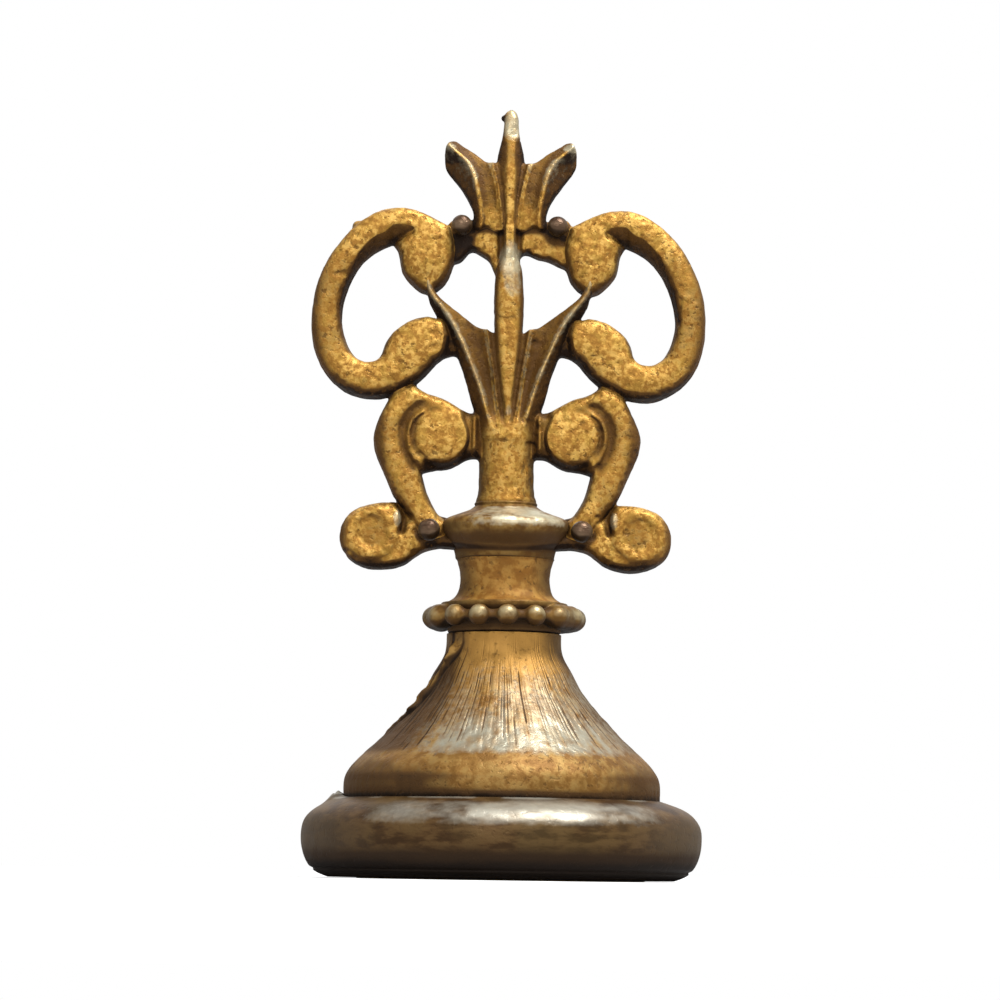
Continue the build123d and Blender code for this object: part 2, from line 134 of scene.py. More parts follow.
def distance_to(x: np.ndarray, z: np.ndarray, line: np.ndarray, closed: bool = False) -> np.ndarray:
    """Distance from each point to a polyline, negative inside it where it is closed.

    Args:
        x: First coordinate of the points.
        z: Second coordinate, of the same shape.
        line: Corners of the polyline.
        closed: True where the last corner joins the first and the inside counts as negative.

    Returns:
        Distances in the shape of x.
    """
    ends = np.roll(line, -1, axis=0) if closed else line[1:]
    starts = line if closed else line[:-1]
    px, pz = x.ravel()[:, None], z.ravel()[:, None]
    nearest = np.full(px.shape[0], np.inf)
    crossings = np.zeros(px.shape[0], int)
    for first in range(0, len(starts), 48):
        a, b = starts[first : first + 48], ends[first : first + 48]
        run = b - a
        length = np.maximum(np.square(run).sum(1), 1e-12)
        dx, dz = px - a[:, 0], pz - a[:, 1]
        share = np.clip((dx * run[:, 0] + dz * run[:, 1]) / length, 0, 1)
        gap = np.square(dx - share * run[:, 0]) + np.square(dz - share * run[:, 1])
        nearest = np.minimum(nearest, gap.min(1))
        if closed:
            spans = (a[:, 1] > pz) != (b[:, 1] > pz)
            rise = np.where(np.abs(run[:, 1]) < 1e-12, 1e-12, run[:, 1])
            crossings += (spans & (px < a[:, 0] + dz * run[:, 0] / rise)).sum(1)
    found = np.sqrt(nearest)
    if closed:
        found = np.where(crossings % 2 == 1, -found, found)
    return found.reshape(x.shape)


def lumps(points: np.ndarray, size: float, seed: int) -> np.ndarray:
    """Smooth lattice noise from -1 to 1: random values on a cubic lattice, blended by smooth steps."""
    table = np.random.default_rng(seed).uniform(-1, 1, (32, 32, 32))
    place = points / size + 1000.5
    cell = np.floor(place).astype(int)
    part = place - cell
    part = part * part * (3 - 2 * part)
    total = np.zeros(points.shape[:-1])
    for corner in np.ndindex(2, 2, 2):
        weight = np.prod(np.where(np.array(corner) == 1, part, 1 - part), axis=-1)
        index = (cell + np.array(corner)) % 32
        total += weight * table[index[..., 0], index[..., 1], index[..., 2]]
    return total


# Meshes


@dataclass
class Shape:
    """A closed surface as arrays: corners in millimetres, quads, triangles, and marks for the finish."""

    corners: np.ndarray
    quads: np.ndarray
    triangles: np.ndarray = field(default_factory=lambda: np.zeros((0, 3), int))
    marks: dict[str, np.ndarray] = field(default_factory=dict)

    def normals(self) -> np.ndarray:
        """Unit normals at the corners, the sum of the normals of the faces that meet there."""
        total = np.zeros_like(self.corners)
        for faces in (self.quads, self.triangles):
            if len(faces):
                a, b, c = (self.corners[faces[:, k]] for k in (0, 1, 2))
                across = np.cross(b - a, c - a)
                if faces.shape[1] == 4:
                    d = self.corners[faces[:, 3]]
                    across = np.cross(c - a, d - b)
                for column in faces.T:
                    for axis in range(3):
                        total[:, axis] += np.bincount(column, across[:, axis], len(total))
        return total / np.maximum(np.linalg.norm(total, axis=1, keepdims=True), 1e-12)

    def outward(self) -> "Shape":
        """Turns every face over if the enclosed volume comes out negative."""
        volume = 0.0
        for faces in (self.quads, self.triangles):
            for second in range(1, faces.shape[1] - 1):
                a, b, c = (self.corners[faces[:, k]] for k in (0, second, second + 1))
                volume += np.einsum("ij,ij->i", a, np.cross(b, c)).sum()
        if volume < 0:
            self.quads = self.quads[:, ::-1]
            self.triangles = self.triangles[:, ::-1]
        return self

    def mirrored(self, side: Side) -> "Shape":
        """The shape for a side, where the right-hand one is as drawn."""
        if side is Side.RIGHT:
            return self
        return Shape(
            self.corners * (-1, 1, 1),
            self.quads[:, ::-1],
            self.triangles[:, ::-1],
            dict(self.marks),
        )

    def joined(self, other: "Shape") -> "Shape":
        """Both shapes in one, where every mark of either is kept and is 0 on the other."""
        count = len(self.corners)
        marks = {}
        for name in {*self.marks, *other.marks}:
            parts = [s.marks.get(name, np.zeros(len(s.corners))) for s in (self, other)]
            marks[name] = np.concatenate(parts)
        return Shape(
            np.concatenate([self.corners, other.corners]),
            np.concatenate([self.quads, other.quads + count]),
            np.concatenate([self.triangles, other.triangles + count]),
            marks,
        )

    def roughened(self, seed: int, swell: float = 0.035, grain: float = 0.012) -> "Shape":
        """Moves each corner along its normal by soft lumps and a finer cast grain."""
        lift = swell * lumps(self.corners, 1.7, seed) + grain * lumps(self.corners, 0.33, seed + 1)
        self.corners = self.corners + self.normals() * lift[:, None]
        return self

    def piece(self, name: str) -> bpy.types.Object:
        """A Blender object at the origin with this mesh in metres and its marks as attributes."""
        mesh = bpy.data.meshes.new(name)
        faces = self.quads.tolist() + self.triangles.tolist()
        mesh.from_pydata((self.corners * MM).tolist(), [], faces)
        mesh.polygons.foreach_set("use_smooth", np.ones(len(faces), bool))
        for mark, values in self.marks.items():
            layer = mesh.attributes.new(mark, "FLOAT", "POINT")
            layer.data.foreach_set("value", np.ascontiguousarray(values, np.float32))
        mesh.update()
        made = bpy.data.objects.new(name, mesh)
        bpy.context.scene.collection.objects.link(made)
        return made


def skin(rings: np.ndarray, looped: bool = False) -> Shape:
    """Closed surface over rings of corners.

    Args:
        rings: Array of rings, corners in each ring, and coordinates.
        looped: True where the last ring joins the first; otherwise both ends are closed by a fan.

    Returns:
        The closed shape, with its faces outwards.
    """
    count, around = rings.shape[:2]
    index = np.arange(count * around).reshape(count, around)
    upper = np.roll(index, -1, axis=0) if looped else index[1:]
    lower = index if looped else index[:-1]
    quads = np.stack([lower, np.roll(lower, -1, 1), np.roll(upper, -1, 1), upper], -1).reshape(-1, 4)
    corners = rings.reshape(-1, 3)
    triangles = np.zeros((0, 3), int)
    if not looped:
        poles = np.stack([rings[0].mean(0), rings[-1].mean(0)])
        low, high = np.full(around, len(corners)), np.full(around, len(corners) + 1)
        first, last = index[0], index[-1]
        triangles = np.concatenate(
            [
                np.stack([low, np.roll(first, -1), first], 1),
                np.stack([high, last, np.roll(last, -1)], 1),
            ]
        )
        corners = np.concatenate([corners, poles])
    return Shape(corners, quads, triangles).outward()


def turned(profile: np.ndarray, around: int, relief: Callable[..., np.ndarray] | None = None) -> Shape:
    """Surface of revolution of a closed profile, with relief on it.

    Args:
        profile: Rows of radius and height, in order round the closed section.
        around: Number of corners in each ring.
        relief: Function of angle, height and radius that gives how far a corner moves out along the radius.

    Returns:
        The closed shape. Angle 0 is the front and a quarter turn is +X.
    """
    angle = np.arange(around) * TURN / around
    radius, height = profile[:, :1], profile[:, 1:]
    out = radius + (0 if relief is None else relief(angle[None, :], height, radius))
    out = np.broadcast_to(out, (len(profile), around))
    high = np.broadcast_to(height, out.shape)
    return skin(np.stack([out * np.sin(angle), -out * np.cos(angle), high], -1), looped=True)


@dataclass(frozen=True)
class Lattice:
    """Cubic cells over a box, for shapes given as fields that are negative inside."""

    low: tuple[float, float, float]
    high: tuple[float, float, float]
    cell: float = 0.1

    def axes(self) -> list[np.ndarray]:
        """Coordinates of the lattice planes along X, Y and Z, as whole numbers of cells, with two to spare."""
        spare = 2 * self.cell
        return [
            np.arange(math.floor((a - spare) / self.cell), math.ceil((b + spare) / self.cell) + 1) * self.cell
            for a, b in zip(self.low, self.high)
        ]


def net(values: np.ndarray, origin: np.ndarray, cell: float) -> Shape:
    """Surface where a field on a lattice changes sign, closed because the border counts as outside.

    Each cell that the field crosses gets a corner at the mean of the crossings on the cell's edges, and each
    lattice edge that it crosses gets a quad between the four cells round it.

    Args:
        values: Field at the lattice points, negative inside.
        origin: Place of the first lattice point.
        cell: Edge of a cell.

    Returns:
        The closed shape, with its faces outwards.
    """
    for axis in range(3):
        for end in (0, -1):
            border = np.moveaxis(values, axis, 0)[end]
            np.maximum(border, 0.3 * cell, out=border)
    inside = values < 0
    size = np.array(values.shape) - 1
    low = [slice(0, n) for n in size]
    high = [slice(1, n + 1) for n in size]
    count = np.zeros(size, np.int8)
    for corner in np.ndindex(2, 2, 2):
        count += inside[tuple(high[k] if corner[k] else low[k] for k in range(3))]
    cells = np.argwhere((count > 0) & (count < 8))
    names = np.full(size, -1)
    names[tuple(cells.T)] = np.arange(len(cells))
    place, crossed = np.zeros((len(cells), 3)), np.zeros(len(cells))
    for axis in range(3):
        step = np.eye(3, dtype=int)[axis]
        for other in np.ndindex(2, 2):
            start = np.insert(np.array(other), axis, 0)
            a = values[tuple((cells + start).T)]
            b = values[tuple((cells + start + step).T)]
            cut = (a < 0) != (b < 0)
            share = np.where(cut, a / np.where(cut, a - b, 1), 0)
            place += np.where(cut[:, None], start + share[:, None] * step, 0)
            crossed += cut
    corners = origin + (cells + place / crossed[:, None]) * cell
    quads = []
    for axis in range(3):
        span = [slice(1, -1)] * 3
        span[axis] = slice(0, -1)
        ahead = list(span)
        ahead[axis] = slice(1, None)
        here, there = inside[tuple(span)], inside[tuple(ahead)]
        edges = np.argwhere(here != there)
        leaving = here[tuple(edges.T)]
        edges = edges + [0 if k == axis else 1 for k in range(3)]
        step_u, step_v = np.eye(3, dtype=int)[(axis + 1) % 3], np.eye(3, dtype=int)[(axis + 2) % 3]
        ring = [names[tuple((edges - back).T)] for back in (0 * step_u, step_u, step_u + step_v, step_v)]
        quad = np.stack(ring, 1)
        quads.append(np.where(leaving[:, None], quad, quad[:, ::-1]))
    return Shape(corners, np.concatenate(quads)).outward()


def rounded(across: np.ndarray, along: np.ndarray, radius: float) -> np.ndarray:
    """Field of two limits met with a rounded edge of the given radius."""
    a, b = across + radius, along + radius
    return np.hypot(np.maximum(a, 0), np.maximum(b, 0)) + np.minimum(np.maximum(a, b), 0) - radius


def melted(first: np.ndarray, second: np.ndarray, reach: float) -> np.ndarray:
    """Smooth union of two fields: the lower of them, filleted over the given reach."""
    share = np.clip(0.5 + 0.5 * (second - first) / reach, 0, 1)
    return second + (first - second) * share - reach * share * (1 - share)


Relief = Callable[[np.ndarray, np.ndarray, np.ndarray], np.ndarray]


@dataclass
class Plate:
    """A flat cast ornament: an outline in X and Z, a half depth that varies over it, rounded edges and draft.

    It is drawn for the right-hand side. Stain and shine are functions of x and z that say where old dirt and painted
    shade sit and where the gilding is rubbed off.
    """

    stretches: list[Points]
    relief: Relief
    edge: float = 0.55
    draft: float = 0.1
    stain: Callable[[np.ndarray, np.ndarray], np.ndarray] | None = None
    shine: Callable[[np.ndarray, np.ndarray], np.ndarray] | None = None
    side: Side = Side.RIGHT
    loop: np.ndarray = field(init=False)

    def __post_init__(self) -> None:
        """Works the outline out."""
        self.loop = outline(self.stretches)

    def reach(self) -> tuple[np.ndarray, np.ndarray]:
        """Lowest and highest X and Z of the outline, on its own side."""
        placed = self.loop * (self.side.value, 1)
        return placed.min(0), placed.max(0)

    def values(self, x: np.ndarray, y: np.ndarray, z: np.ndarray) -> np.ndarray:
        """Field over a grid of x and z and a row of y."""
        own = x * self.side.value
        gap = distance_to(own, z, self.loop, closed=True)
        half = self.relief(own, z, gap)
        away = np.abs(y)[None, :, None]
        return rounded(gap[:, None, :] + self.draft * away, away - half[:, None, :], self.edge)


@dataclass
class Rod:
    """A round upright: radius and flattening against height."""

    heights: list[float]
    radii: list[float]
    flatten: float = 0.95
    stain: float = 0.14

    def reach(self) -> tuple[np.ndarray, np.ndarray]:
        """Lowest and highest X and Z."""
        wide = max(self.radii)
        return np.array([-wide, self.heights[0]]), np.array([wide, self.heights[-1]])

    def values(self, x: np.ndarray, y: np.ndarray, z: np.ndarray) -> np.ndarray:
        """Field over a grid of x and z and a row of y."""
        radius = np.interp(z, self.heights, self.radii)[:, None, :]
        around = np.hypot(x[:, None, :], y[None, :, None] / self.flatten) - radius
        ends = np.maximum(self.heights[0] - z, z - self.heights[-1])[:, None, :]
        return rounded(around, ends, 0.05)


@dataclass(frozen=True)
class Lump:
    """A stray drop of metal on a cast piece."""

    node: str
    x: float
    y: float
    z: float
    radius: float


LUMPS = (Lump("finial_centre_leaf", -0.58, -0.3, 57.75, 0.22), Lump("left_c_scroll", -11.55, -0.4, 49.25, 0.42))


@dataclass
class Casting:
    """Forms on one lattice that melt into each other and yet stay separate closed pieces.

    The surface of all of them together is worked out once. A piece follows it as far as the piece's own form is
    the nearest one, and past that it sinks under its neighbour, so no joint shows.
    """

    lattice: Lattice = Lattice((-15.3, -2.6, 22.7), (15.3, 2.6, 58.7))
    melt: float = 0.28
    margin: float = 0.9
    dive: float = 2.6
    forms: dict[str, Plate | Rod] = field(default_factory=dict)

    def slices(self, form: Plate | Rod) -> tuple[slice, slice, slice]:
        """The stretch of the lattice that a form takes."""
        low, high = form.reach()
        xs, ys, zs = self.lattice.axes()
        x_from, x_to = np.searchsorted(xs, (low[0] - self.margin, high[0] + self.margin))
        z_from, z_to = np.searchsorted(zs, (low[1] - self.margin, high[1] + self.margin))
        return slice(x_from, x_to), slice(0, len(ys)), slice(z_from, z_to)

    def pieces(self, seed: int, swell: float, grain: float, pits: float) -> dict[str, Shape]:
        """Meshes every form.

        Args:
            seed: Seed of the cast roughness.
            swell: Height of the soft lumps.
            grain: Height of the cast grain.
            pits: Depth of the pits.

        Returns:
            Closed shapes by node.
        """
        xs, ys, zs = self.lattice.axes()
        size = len(xs), len(ys), len(zs)
        fused, first, second = (np.full(size, 5.0, np.float32) for _ in range(3))
        own = {}
        for name, form in self.forms.items():
            part = self.slices(form)
            x, z = np.meshgrid(xs[part[0]], zs[part[2]], indexing="ij")
            own[name] = form.values(x, ys, z).astype(np.float32)
            for lump in (lump for lump in LUMPS if lump.node == name):
                ball = np.sqrt(((x - lump.x) ** 2 + (z - lump.z) ** 2)[:, None, :] + (ys[None, :, None] - lump.y) ** 2)
                own[name] = melted(own[name], ball.astype(np.float32) - lump.radius, 0.25)
            fused[part] = melted(fused[part], own[name], self.melt)
            second[part] = np.minimum(second[part], np.maximum(first[part], own[name]))
            first[part] = np.minimum(first[part], own[name])
        near = np.nonzero(np.abs(fused) < 0.3)
        place = np.stack([axis[index] for axis, index in zip((xs, ys, zs), near)], 1)
        rough = swell * lumps(place, 1.7, seed) + grain * lumps(place, 0.34, seed + 1)
        holes = ease(0.22, 0.75, lumps(place, 0.55, seed + 2)) * ease(-0.35, 0.3, lumps(place, 2.2, seed + 3))
        fused[near] += (rough + pits * holes).astype(np.float32)
        made = {}
        for name, form in self.forms.items():
            part = self.slices(form)
            others = np.where(own[name] <= first[part], second[part], first[part])
            past = np.maximum(0.5 * (own[name] - others), 0)
            origin = np.array([xs[part[0].start], ys[0], zs[part[2].start]])
            shape = net(fused[part] + self.dive * past**2, origin, self.lattice.cell)
            if isinstance(form, Plate):
                place = shape.corners[:, 0] * form.side.value, shape.corners[:, 2]
                for mark, source in (("stain", form.stain), ("silver", form.shine)):
                    if source is not None:
                        shape.marks[mark] = source(*place)
            else:
                shape.marks["stain"] = np.full(len(shape.corners), form.stain)
            made[name] = shape
        return made


# Painted shade worked out from the shapes: occlusion in hollows, shade underneath and on edges that face sideways


@dataclass
class Cavity:
    """How enclosed each place is: a coarse box of cells that says how full of metal each is, blurred."""

    low: tuple[float, float, float] = (-17.0, -17.0, -2.0)
    high: tuple[float, float, float] = (17.0, 17.0, 60.0)
    cell: float = 0.25
    fill: np.ndarray = field(init=False)

    def __post_init__(self) -> None:
        """Makes the empty box."""
        size = [int((b - a) / self.cell) + 1 for a, b in zip(self.low, self.high)]
        self.fill = np.zeros(size, np.float32)

    def add_turned(self, profile: np.ndarray, hollow: bool = False) -> None:
        """Fills what lies within a turned outline, given as rows of radius and rising height."""
        axes = [a + np.arange(n) * self.cell for a, n in zip(self.low, self.fill.shape)]
        radius = np.interp(axes[2], profile[:, 1], profile[:, 0], left=0, right=0)
        from_axis = np.hypot(axes[0][:, None], axes[1][None, :])
        full = np.clip((radius[None, None, :] - from_axis[:, :, None]) / self.cell + 0.5, 0, 1)
        self.fill = np.maximum(self.fill, full.astype(np.float32)) if not hollow else self.fill

    def add(self, shape: Shape) -> None:
        """Fills a closed shape: along Y, cells between its nearest and furthest surface are full."""
        x, y, z = (shape.corners - self.low).T / self.cell
        columns = np.round(x).astype(int), np.round(z).astype(int)
        size = self.fill.shape[0], self.fill.shape[2]
        front, back = np.full(size, np.inf), np.full(size, -np.inf)
        np.minimum.at(front, columns, y)
        np.maximum.at(back, columns, y)
        rows = np.arange(self.fill.shape[1])[None, :, None]
        full = np.clip(np.minimum(rows - front[:, None, :], back[:, None, :] - rows) + 0.5, 0, 1)
        self.fill = np.maximum(self.fill, full.astype(np.float32))

    def blurred(self, reach: float) -> np.ndarray:
        """The fill, averaged three times over a box of the given reach."""
        half = max(1, round(reach / self.cell))
        soft = self.fill
        for _ in range(3):
            for axis in range(3):
                padding = [(half + 1, half) if k == axis else (0, 0) for k in range(3)]
                total = np.cumsum(np.pad(soft, padding, mode="edge"), axis=axis, dtype=np.float32)
                ahead = np.take(total, range(2 * half + 1, total.shape[axis]), axis=axis)
                behind = np.take(total, range(0, total.shape[axis] - 2 * half - 1), axis=axis)
                soft = (ahead - behind) / (2 * half + 1)
        return soft

    def read(self, soft: np.ndarray, points: np.ndarray) -> np.ndarray:
        """Values of a blurred fill at points, blended between cells."""
        place = np.clip((points - self.low) / self.cell, 0, np.array(soft.shape) - 1.001)
        cell = place.astype(int)
        part = place - cell
        total = np.zeros(len(points))
        for corner in np.ndindex(2, 2, 2):
            weight = np.prod(np.where(np.array(corner) == 1, part, 1 - part), axis=1)
            index = cell + np.array(corner)
            total += weight * soft[index[:, 0], index[:, 1], index[:, 2]]
        return total


@dataclass
class PaintedShade:
    """Painted shade on each shape as marks from 0 to 1: hollow is painted occlusion in crevices, under is painted shade
    on faces that look down or towards the axis, and rim is a painted grey shade on edges that face sideways.
    """

    cavity: Cavity
    near: np.ndarray = field(init=False)
    far: np.ndarray = field(init=False)

    def __post_init__(self) -> None:
        """Blurs the fill at two reaches."""
        self.near = self.cavity.blurred(0.5)
        self.far = self.cavity.blurred(1.6)

    def mark(self, shape: Shape) -> None:
        """Adds the painted shade marks to a shape, and leaves stain and silver at 0 where the piece gives none."""
        normal = shape.normals()
        # hollow: painted occlusion shade, darker where metal lies close round a place
        close = self.cavity.read(self.near, shape.corners + normal * 0.35)
        wide = self.cavity.read(self.far, shape.corners + normal * 1.1)
        shape.marks["hollow"] = np.clip(0.5 * ease(0.32, 0.66, close) + 0.5 * ease(0.25, 0.6, wide), 0, 1)
        # under: painted shade on faces that look down or towards the axis
        inward = np.maximum(-normal[:, 0] * np.sign(shape.corners[:, 0]), 0)
        shape.marks["under"] = ease(0.1, 0.75, 0.9 * -normal[:, 2] + 0.6 * inward**2)
        # rim: painted grey shade on edges that face sideways
        shape.marks["rim"] = ease(0.5, 0.92, np.abs(normal[:, 0]))
        for name in ("stain", "silver", "fresh"):
            shape.marks.setdefault(name, np.zeros(len(shape.corners)))


@dataclass(frozen=True)
class Spot:
    """A place on the front and back where the gilding is rubbed through to pale metal."""

    x: float
    z: float
    width: float
    height: float
    strength: float = 1.0


SPOTS = (
    Spot(0.1, 46.6, 0.95, 1.7, 0.9),
    Spot(0.25, 44.8, 0.8, 1.2, 0.5),
    Spot(0.12, 57.05, 0.85, 1.25, 0.95),
    Spot(0.15, 58.0, 0.6, 0.7, 0.75),
    Spot(4.6, 55.4, 0.7, 0.4, 0.9),
    Spot(-4.6, 55.4, 0.5, 0.3, 0.6),
    # The two spots low on the volutes are partly rubbed metal and partly a painted highlight on their raised glint.
    Spot(-8.15, 27.0, 0.32, 0.75, 0.7),
    Spot(8.15, 27.0, 0.32, 0.75, 0.6),
    Spot(0.1, 35.2, 0.25, 0.5, 0.5),
)


def rubbed(corners: np.ndarray) -> np.ndarray:
    """How far the spots have rubbed each corner of the openwork."""
    total = np.zeros(len(corners))
    for spot in SPOTS:
        off = np.hypot((corners[:, 0] - spot.x) / spot.width, (corners[:, 2] - spot.z) / spot.height)
        total = np.maximum(total, spot.strength * (1 - ease(0.5, 1.15, off)))
    return total


# Node trees


class Wire:
    """A shader socket with arithmetic: each operator adds a Math node."""

    def __init__(self, ink: "Ink", socket: bpy.types.NodeSocket) -> None:
        """Keeps the node maker and the output socket."""
        self.ink = ink
        self.socket = socket

    def _math(self, operation: str, *values: "Wire | float") -> "Wire":
        """A Math node on the given values."""
        return self.ink.node("ShaderNodeMath", {"operation": operation}, dict(enumerate(values)))

    def __add__(self, other: "Wire | float") -> "Wire":
        """Sum."""
        return self._math("ADD", self, other)

    def __radd__(self, other: float) -> "Wire":
        """Sum with a number first."""
        return self._math("ADD", other, self)

    def __sub__(self, other: "Wire | float") -> "Wire":
        """Difference."""
        return self._math("SUBTRACT", self, other)

    def __rsub__(self, other: float) -> "Wire":
        """Difference from a number."""
        return self._math("SUBTRACT", other, self)

    def __mul__(self, other: "Wire | float") -> "Wire":
        """Product."""
        return self._math("MULTIPLY", self, other)

    def __rmul__(self, other: float) -> "Wire":
        """Product with a number first."""
        return self._math("MULTIPLY", other, self)

    def __truediv__(self, other: "Wire | float") -> "Wire":
        """Quotient."""
        return self._math("DIVIDE", self, other)

    def clipped(self) -> "Wire":
        """The value held between 0 and 1."""
        return self.ink.node("ShaderNodeClamp", {}, {"Value": self})

    def step(self, low: float, high: float) -> "Wire":
        """Smooth step from 0 at low to 1 at high."""
        sockets = {"Value": self, "From Min": low, "From Max": high}
        return self.ink.node("ShaderNodeMapRange", {"interpolation_type": "SMOOTHSTEP"}, sockets)


class Ink:
    """Builds the nodes of one material."""

    def __init__(self, name: str) -> None:
        """Starts a material with no nodes."""
        self.material = bpy.data.materials.new(name)
        self.material.use_nodes = True
        self.tree = self.material.node_tree
        self.tree.nodes.clear()

    def node(self, kind: str, settings: dict, sockets: dict, output: int | str = 0) -> Wire:
        """Adds a node.

        Args:
            kind: Blender's type of node.
            settings: Properties, set before the sockets.
            sockets: Values or wires by the name or number of the input.
            output: Name or number of the output to return.

        Returns:
            The output as a wire.
        """
        made = self.tree.nodes.new(kind)
        for name, value in settings.items():
            setattr(made, name, value)
        for name, value in sockets.items():
            if isinstance(value, Wire):
                self.tree.links.new(value.socket, made.inputs[name])
            else:
                made.inputs[name].default_value = value
        return Wire(self, made.outputs[output])

    def place(self) -> Wire:
        """Object coordinates in metres."""
        return self.node("ShaderNodeTexCoord", {}, {}, "Object")

    def mark(self, name: str) -> Wire:
        """A mark stored on the mesh."""
        return self.node("ShaderNodeAttribute", {"attribute_name": name}, {}, "Fac")

    def noise(self, size: float, detail: float = 4.0, rough: float = 0.55, place: Wire | None = None) -> Wire:
        """Noise from 0 to 1 with lumps of the given size in millimetres."""
        sockets = {"Vector": place or self.place(), "Scale": 1 / (size * MM), "Detail": detail, "Roughness": rough}
        return self.node("ShaderNodeTexNoise", {}, sockets, "Fac")

    def mixed(self, share: Wire | float, first: object, second: object) -> Wire:
        """Colour from first to second."""
        made = self.tree.nodes.new("ShaderNodeMix")
        made.data_type = "RGBA"
        for name, value in (("Factor_Float", share), ("A_Color", first), ("B_Color", second)):
            socket = next(s for s in made.inputs if s.identifier == name)
            if isinstance(value, Wire):
                self.tree.links.new(value.socket, socket)
            else:
                socket.default_value = value
        return Wire(self, next(s for s in made.outputs if s.identifier == "Result_Color"))

    def finish(self, colour: Wire, roughness: Wire, metallic: Wire, relief: Wire, height: float) -> bpy.types.Material:
        """Closes the tree with a metal surface.

        Args:
            colour: Base colour.
            roughness: Roughness.
            metallic: Share of bare metal.
            relief: Height of the fine relief, from 0 to 1.
            height: That relief in millimetres.

        Returns:
            The material.
        """
        lifted = self.node("ShaderNodeBump", {}, {"Strength": 1.0, "Distance": height * MM, "Height": relief})
        sockets = {"Base Color": colour, "Roughness": roughness, "Metallic": metallic, "Normal": lifted}
        sockets["Specular IOR Level"] = 0.16
        surface = self.node("ShaderNodeBsdfPrincipled", {}, sockets)
        out = self.tree.nodes.new("ShaderNodeOutputMaterial")
        self.tree.links.new(surface.socket, out.inputs["Surface"])
        return self.material


def paint(red: float, green: float, blue: float) -> tuple[float, float, float, float]:
    """Linear colour from the 0 to 255 values that it shows as on a screen."""
    shown = np.array([red, green, blue]) / 255
    linear = np.where(shown <= 0.04045, shown / 12.92, ((shown + 0.055) / 1.055) ** 2.4)
    return (*linear.tolist(), 1.0)


@dataclass(frozen=True)
class OldMetal:
    """Old gilt brass: mottled gold that goes to olive and then near black with dirt and painted shade, and pale where
    it is rubbed and where a highlight is painted.

    Attributes:
        name: Name of the material.
        pale: Brightest patches.
        plain: Plain colour.
        deep: Darker patches.
        green: Patches with a green cast.
        olive: Where dirt and painted shade are thin.
        dirt: Where dirt and painted shade are thick.
        bare: Where it is rubbed through, and where a highlight is painted.
        whole: Where the gilding is still whole.
        edge: Painted grey shade on edges that face sideways.
        mottle: Size of the patches in millimetres.
        blotch: How uneven the dirt is.
        fray: How ragged the edges of bare metal are.
        pits: How many dark pits show.
        grime: Dirt that lies everywhere.
        metal: Share of bare metal on the plain colour.
        rough: Roughness of the plain colour.
        grain: Height of the fine relief in millimetres.
        squash: How much flatter than wide the patches are.
    """

    name: str
    pale: tuple = paint(218, 174, 92)
    plain: tuple = paint(182, 134, 58)
    deep: tuple = paint(146, 102, 40)
    green: tuple = paint(174, 142, 60)
    olive: tuple = paint(88, 58, 20)
    dirt: tuple = paint(30, 16, 5)
    bare: tuple = paint(172, 162, 134)
    whole: tuple = paint(190, 142, 70)
    edge: tuple = paint(58, 46, 30)
    mottle: float = 0.42
    blotch: float = 0.7
    fray: float = 0.8
    pits: float = 0.8
    grime: float = 0.0
    metal: float = 0.4
    rough: float = 0.44
    grain: float = 0.045
    squash: float = 1.0

    def material(self) -> bpy.types.Material:
        """Builds the material."""
        ink = Ink(self.name)
        hollow, under, rim, stain, silver, fresh = (
            ink.mark(name) for name in ("hollow", "under", "rim", "stain", "silver", "fresh")
        )
        flat = ink.node("ShaderNodeMapping", {}, {"Vector": ink.place(), "Scale": (1.0, 1.0, self.squash)})
        patch = ink.noise(self.mottle, 3.0, 0.6, flat)
        broad = ink.noise(self.mottle * 5, 3.0, 0.55, flat)
        speck = ink.noise(0.36, 1.5, 0.55)
        fine = ink.noise(0.12, 2.0, 0.5)
        gold = ink.mixed(patch.step(0.36, 0.6), self.deep, self.plain)
        gold = ink.mixed((patch * 0.8 + broad * 0.4).step(0.56, 0.76) * 0.85, gold, self.pale)
        gold = ink.mixed(ink.noise(self.mottle * 2.3, 2.0, 0.6).step(0.46, 0.66) * 0.3, gold, self.green)
        gold = ink.mixed(fresh * (0.6 + 0.6 * patch), gold, self.whole)
        # Painted grey shade on edges that face sideways.
        gold = ink.mixed(rim * 0.75, gold, self.edge)
        # Dirt and painted shade together: stain, painted occlusion in hollows, painted shade underneath and uneven
        # patches take the gold to olive and then near black.
        uneven = (patch - 0.5) + (broad - 0.5) * 0.6
        dirt_and_shade = stain + hollow * 0.5 + under * 0.85 + uneven * self.blotch + self.grime
        thin = dirt_and_shade.step(0.1, 0.62)
        thick = dirt_and_shade.step(0.6, 1.2)
        colour = ink.mixed(thin, gold, self.olive)
        colour = ink.mixed(thick, colour, self.dirt)
        pit = (speck.step(0.58, 0.7) * (0.2 + broad.step(0.38, 0.6)) * self.pits).clipped()
        colour = ink.mixed(pit * 0.75, colour, self.olive)
        # Rubbed metal and painted highlights both go pale.
        rub_and_highlight = (silver - 0.08 + ((speck - 0.5) + (patch - 0.5)) * self.fray).clipped() * silver.step(0.0, 0.25)
        colour = ink.mixed(rub_and_highlight, colour, self.bare)
        rough = (self.rough + 0.12 * thin + 0.08 * thick + 0.2 * rim - 0.12 * rub_and_highlight).clipped()
        metal = (self.metal * (1.0 - 0.75 * thin) * (1.0 - 0.6 * rim) + 0.25 * rub_and_highlight).clipped()
        relief = (0.5 * fine + 0.7 * speck.step(0.72, 0.55) + 0.5 * patch) * (1.0 - 0.7 * rub_and_highlight)
        return ink.finish(colour, rough, metal, relief, self.grain)


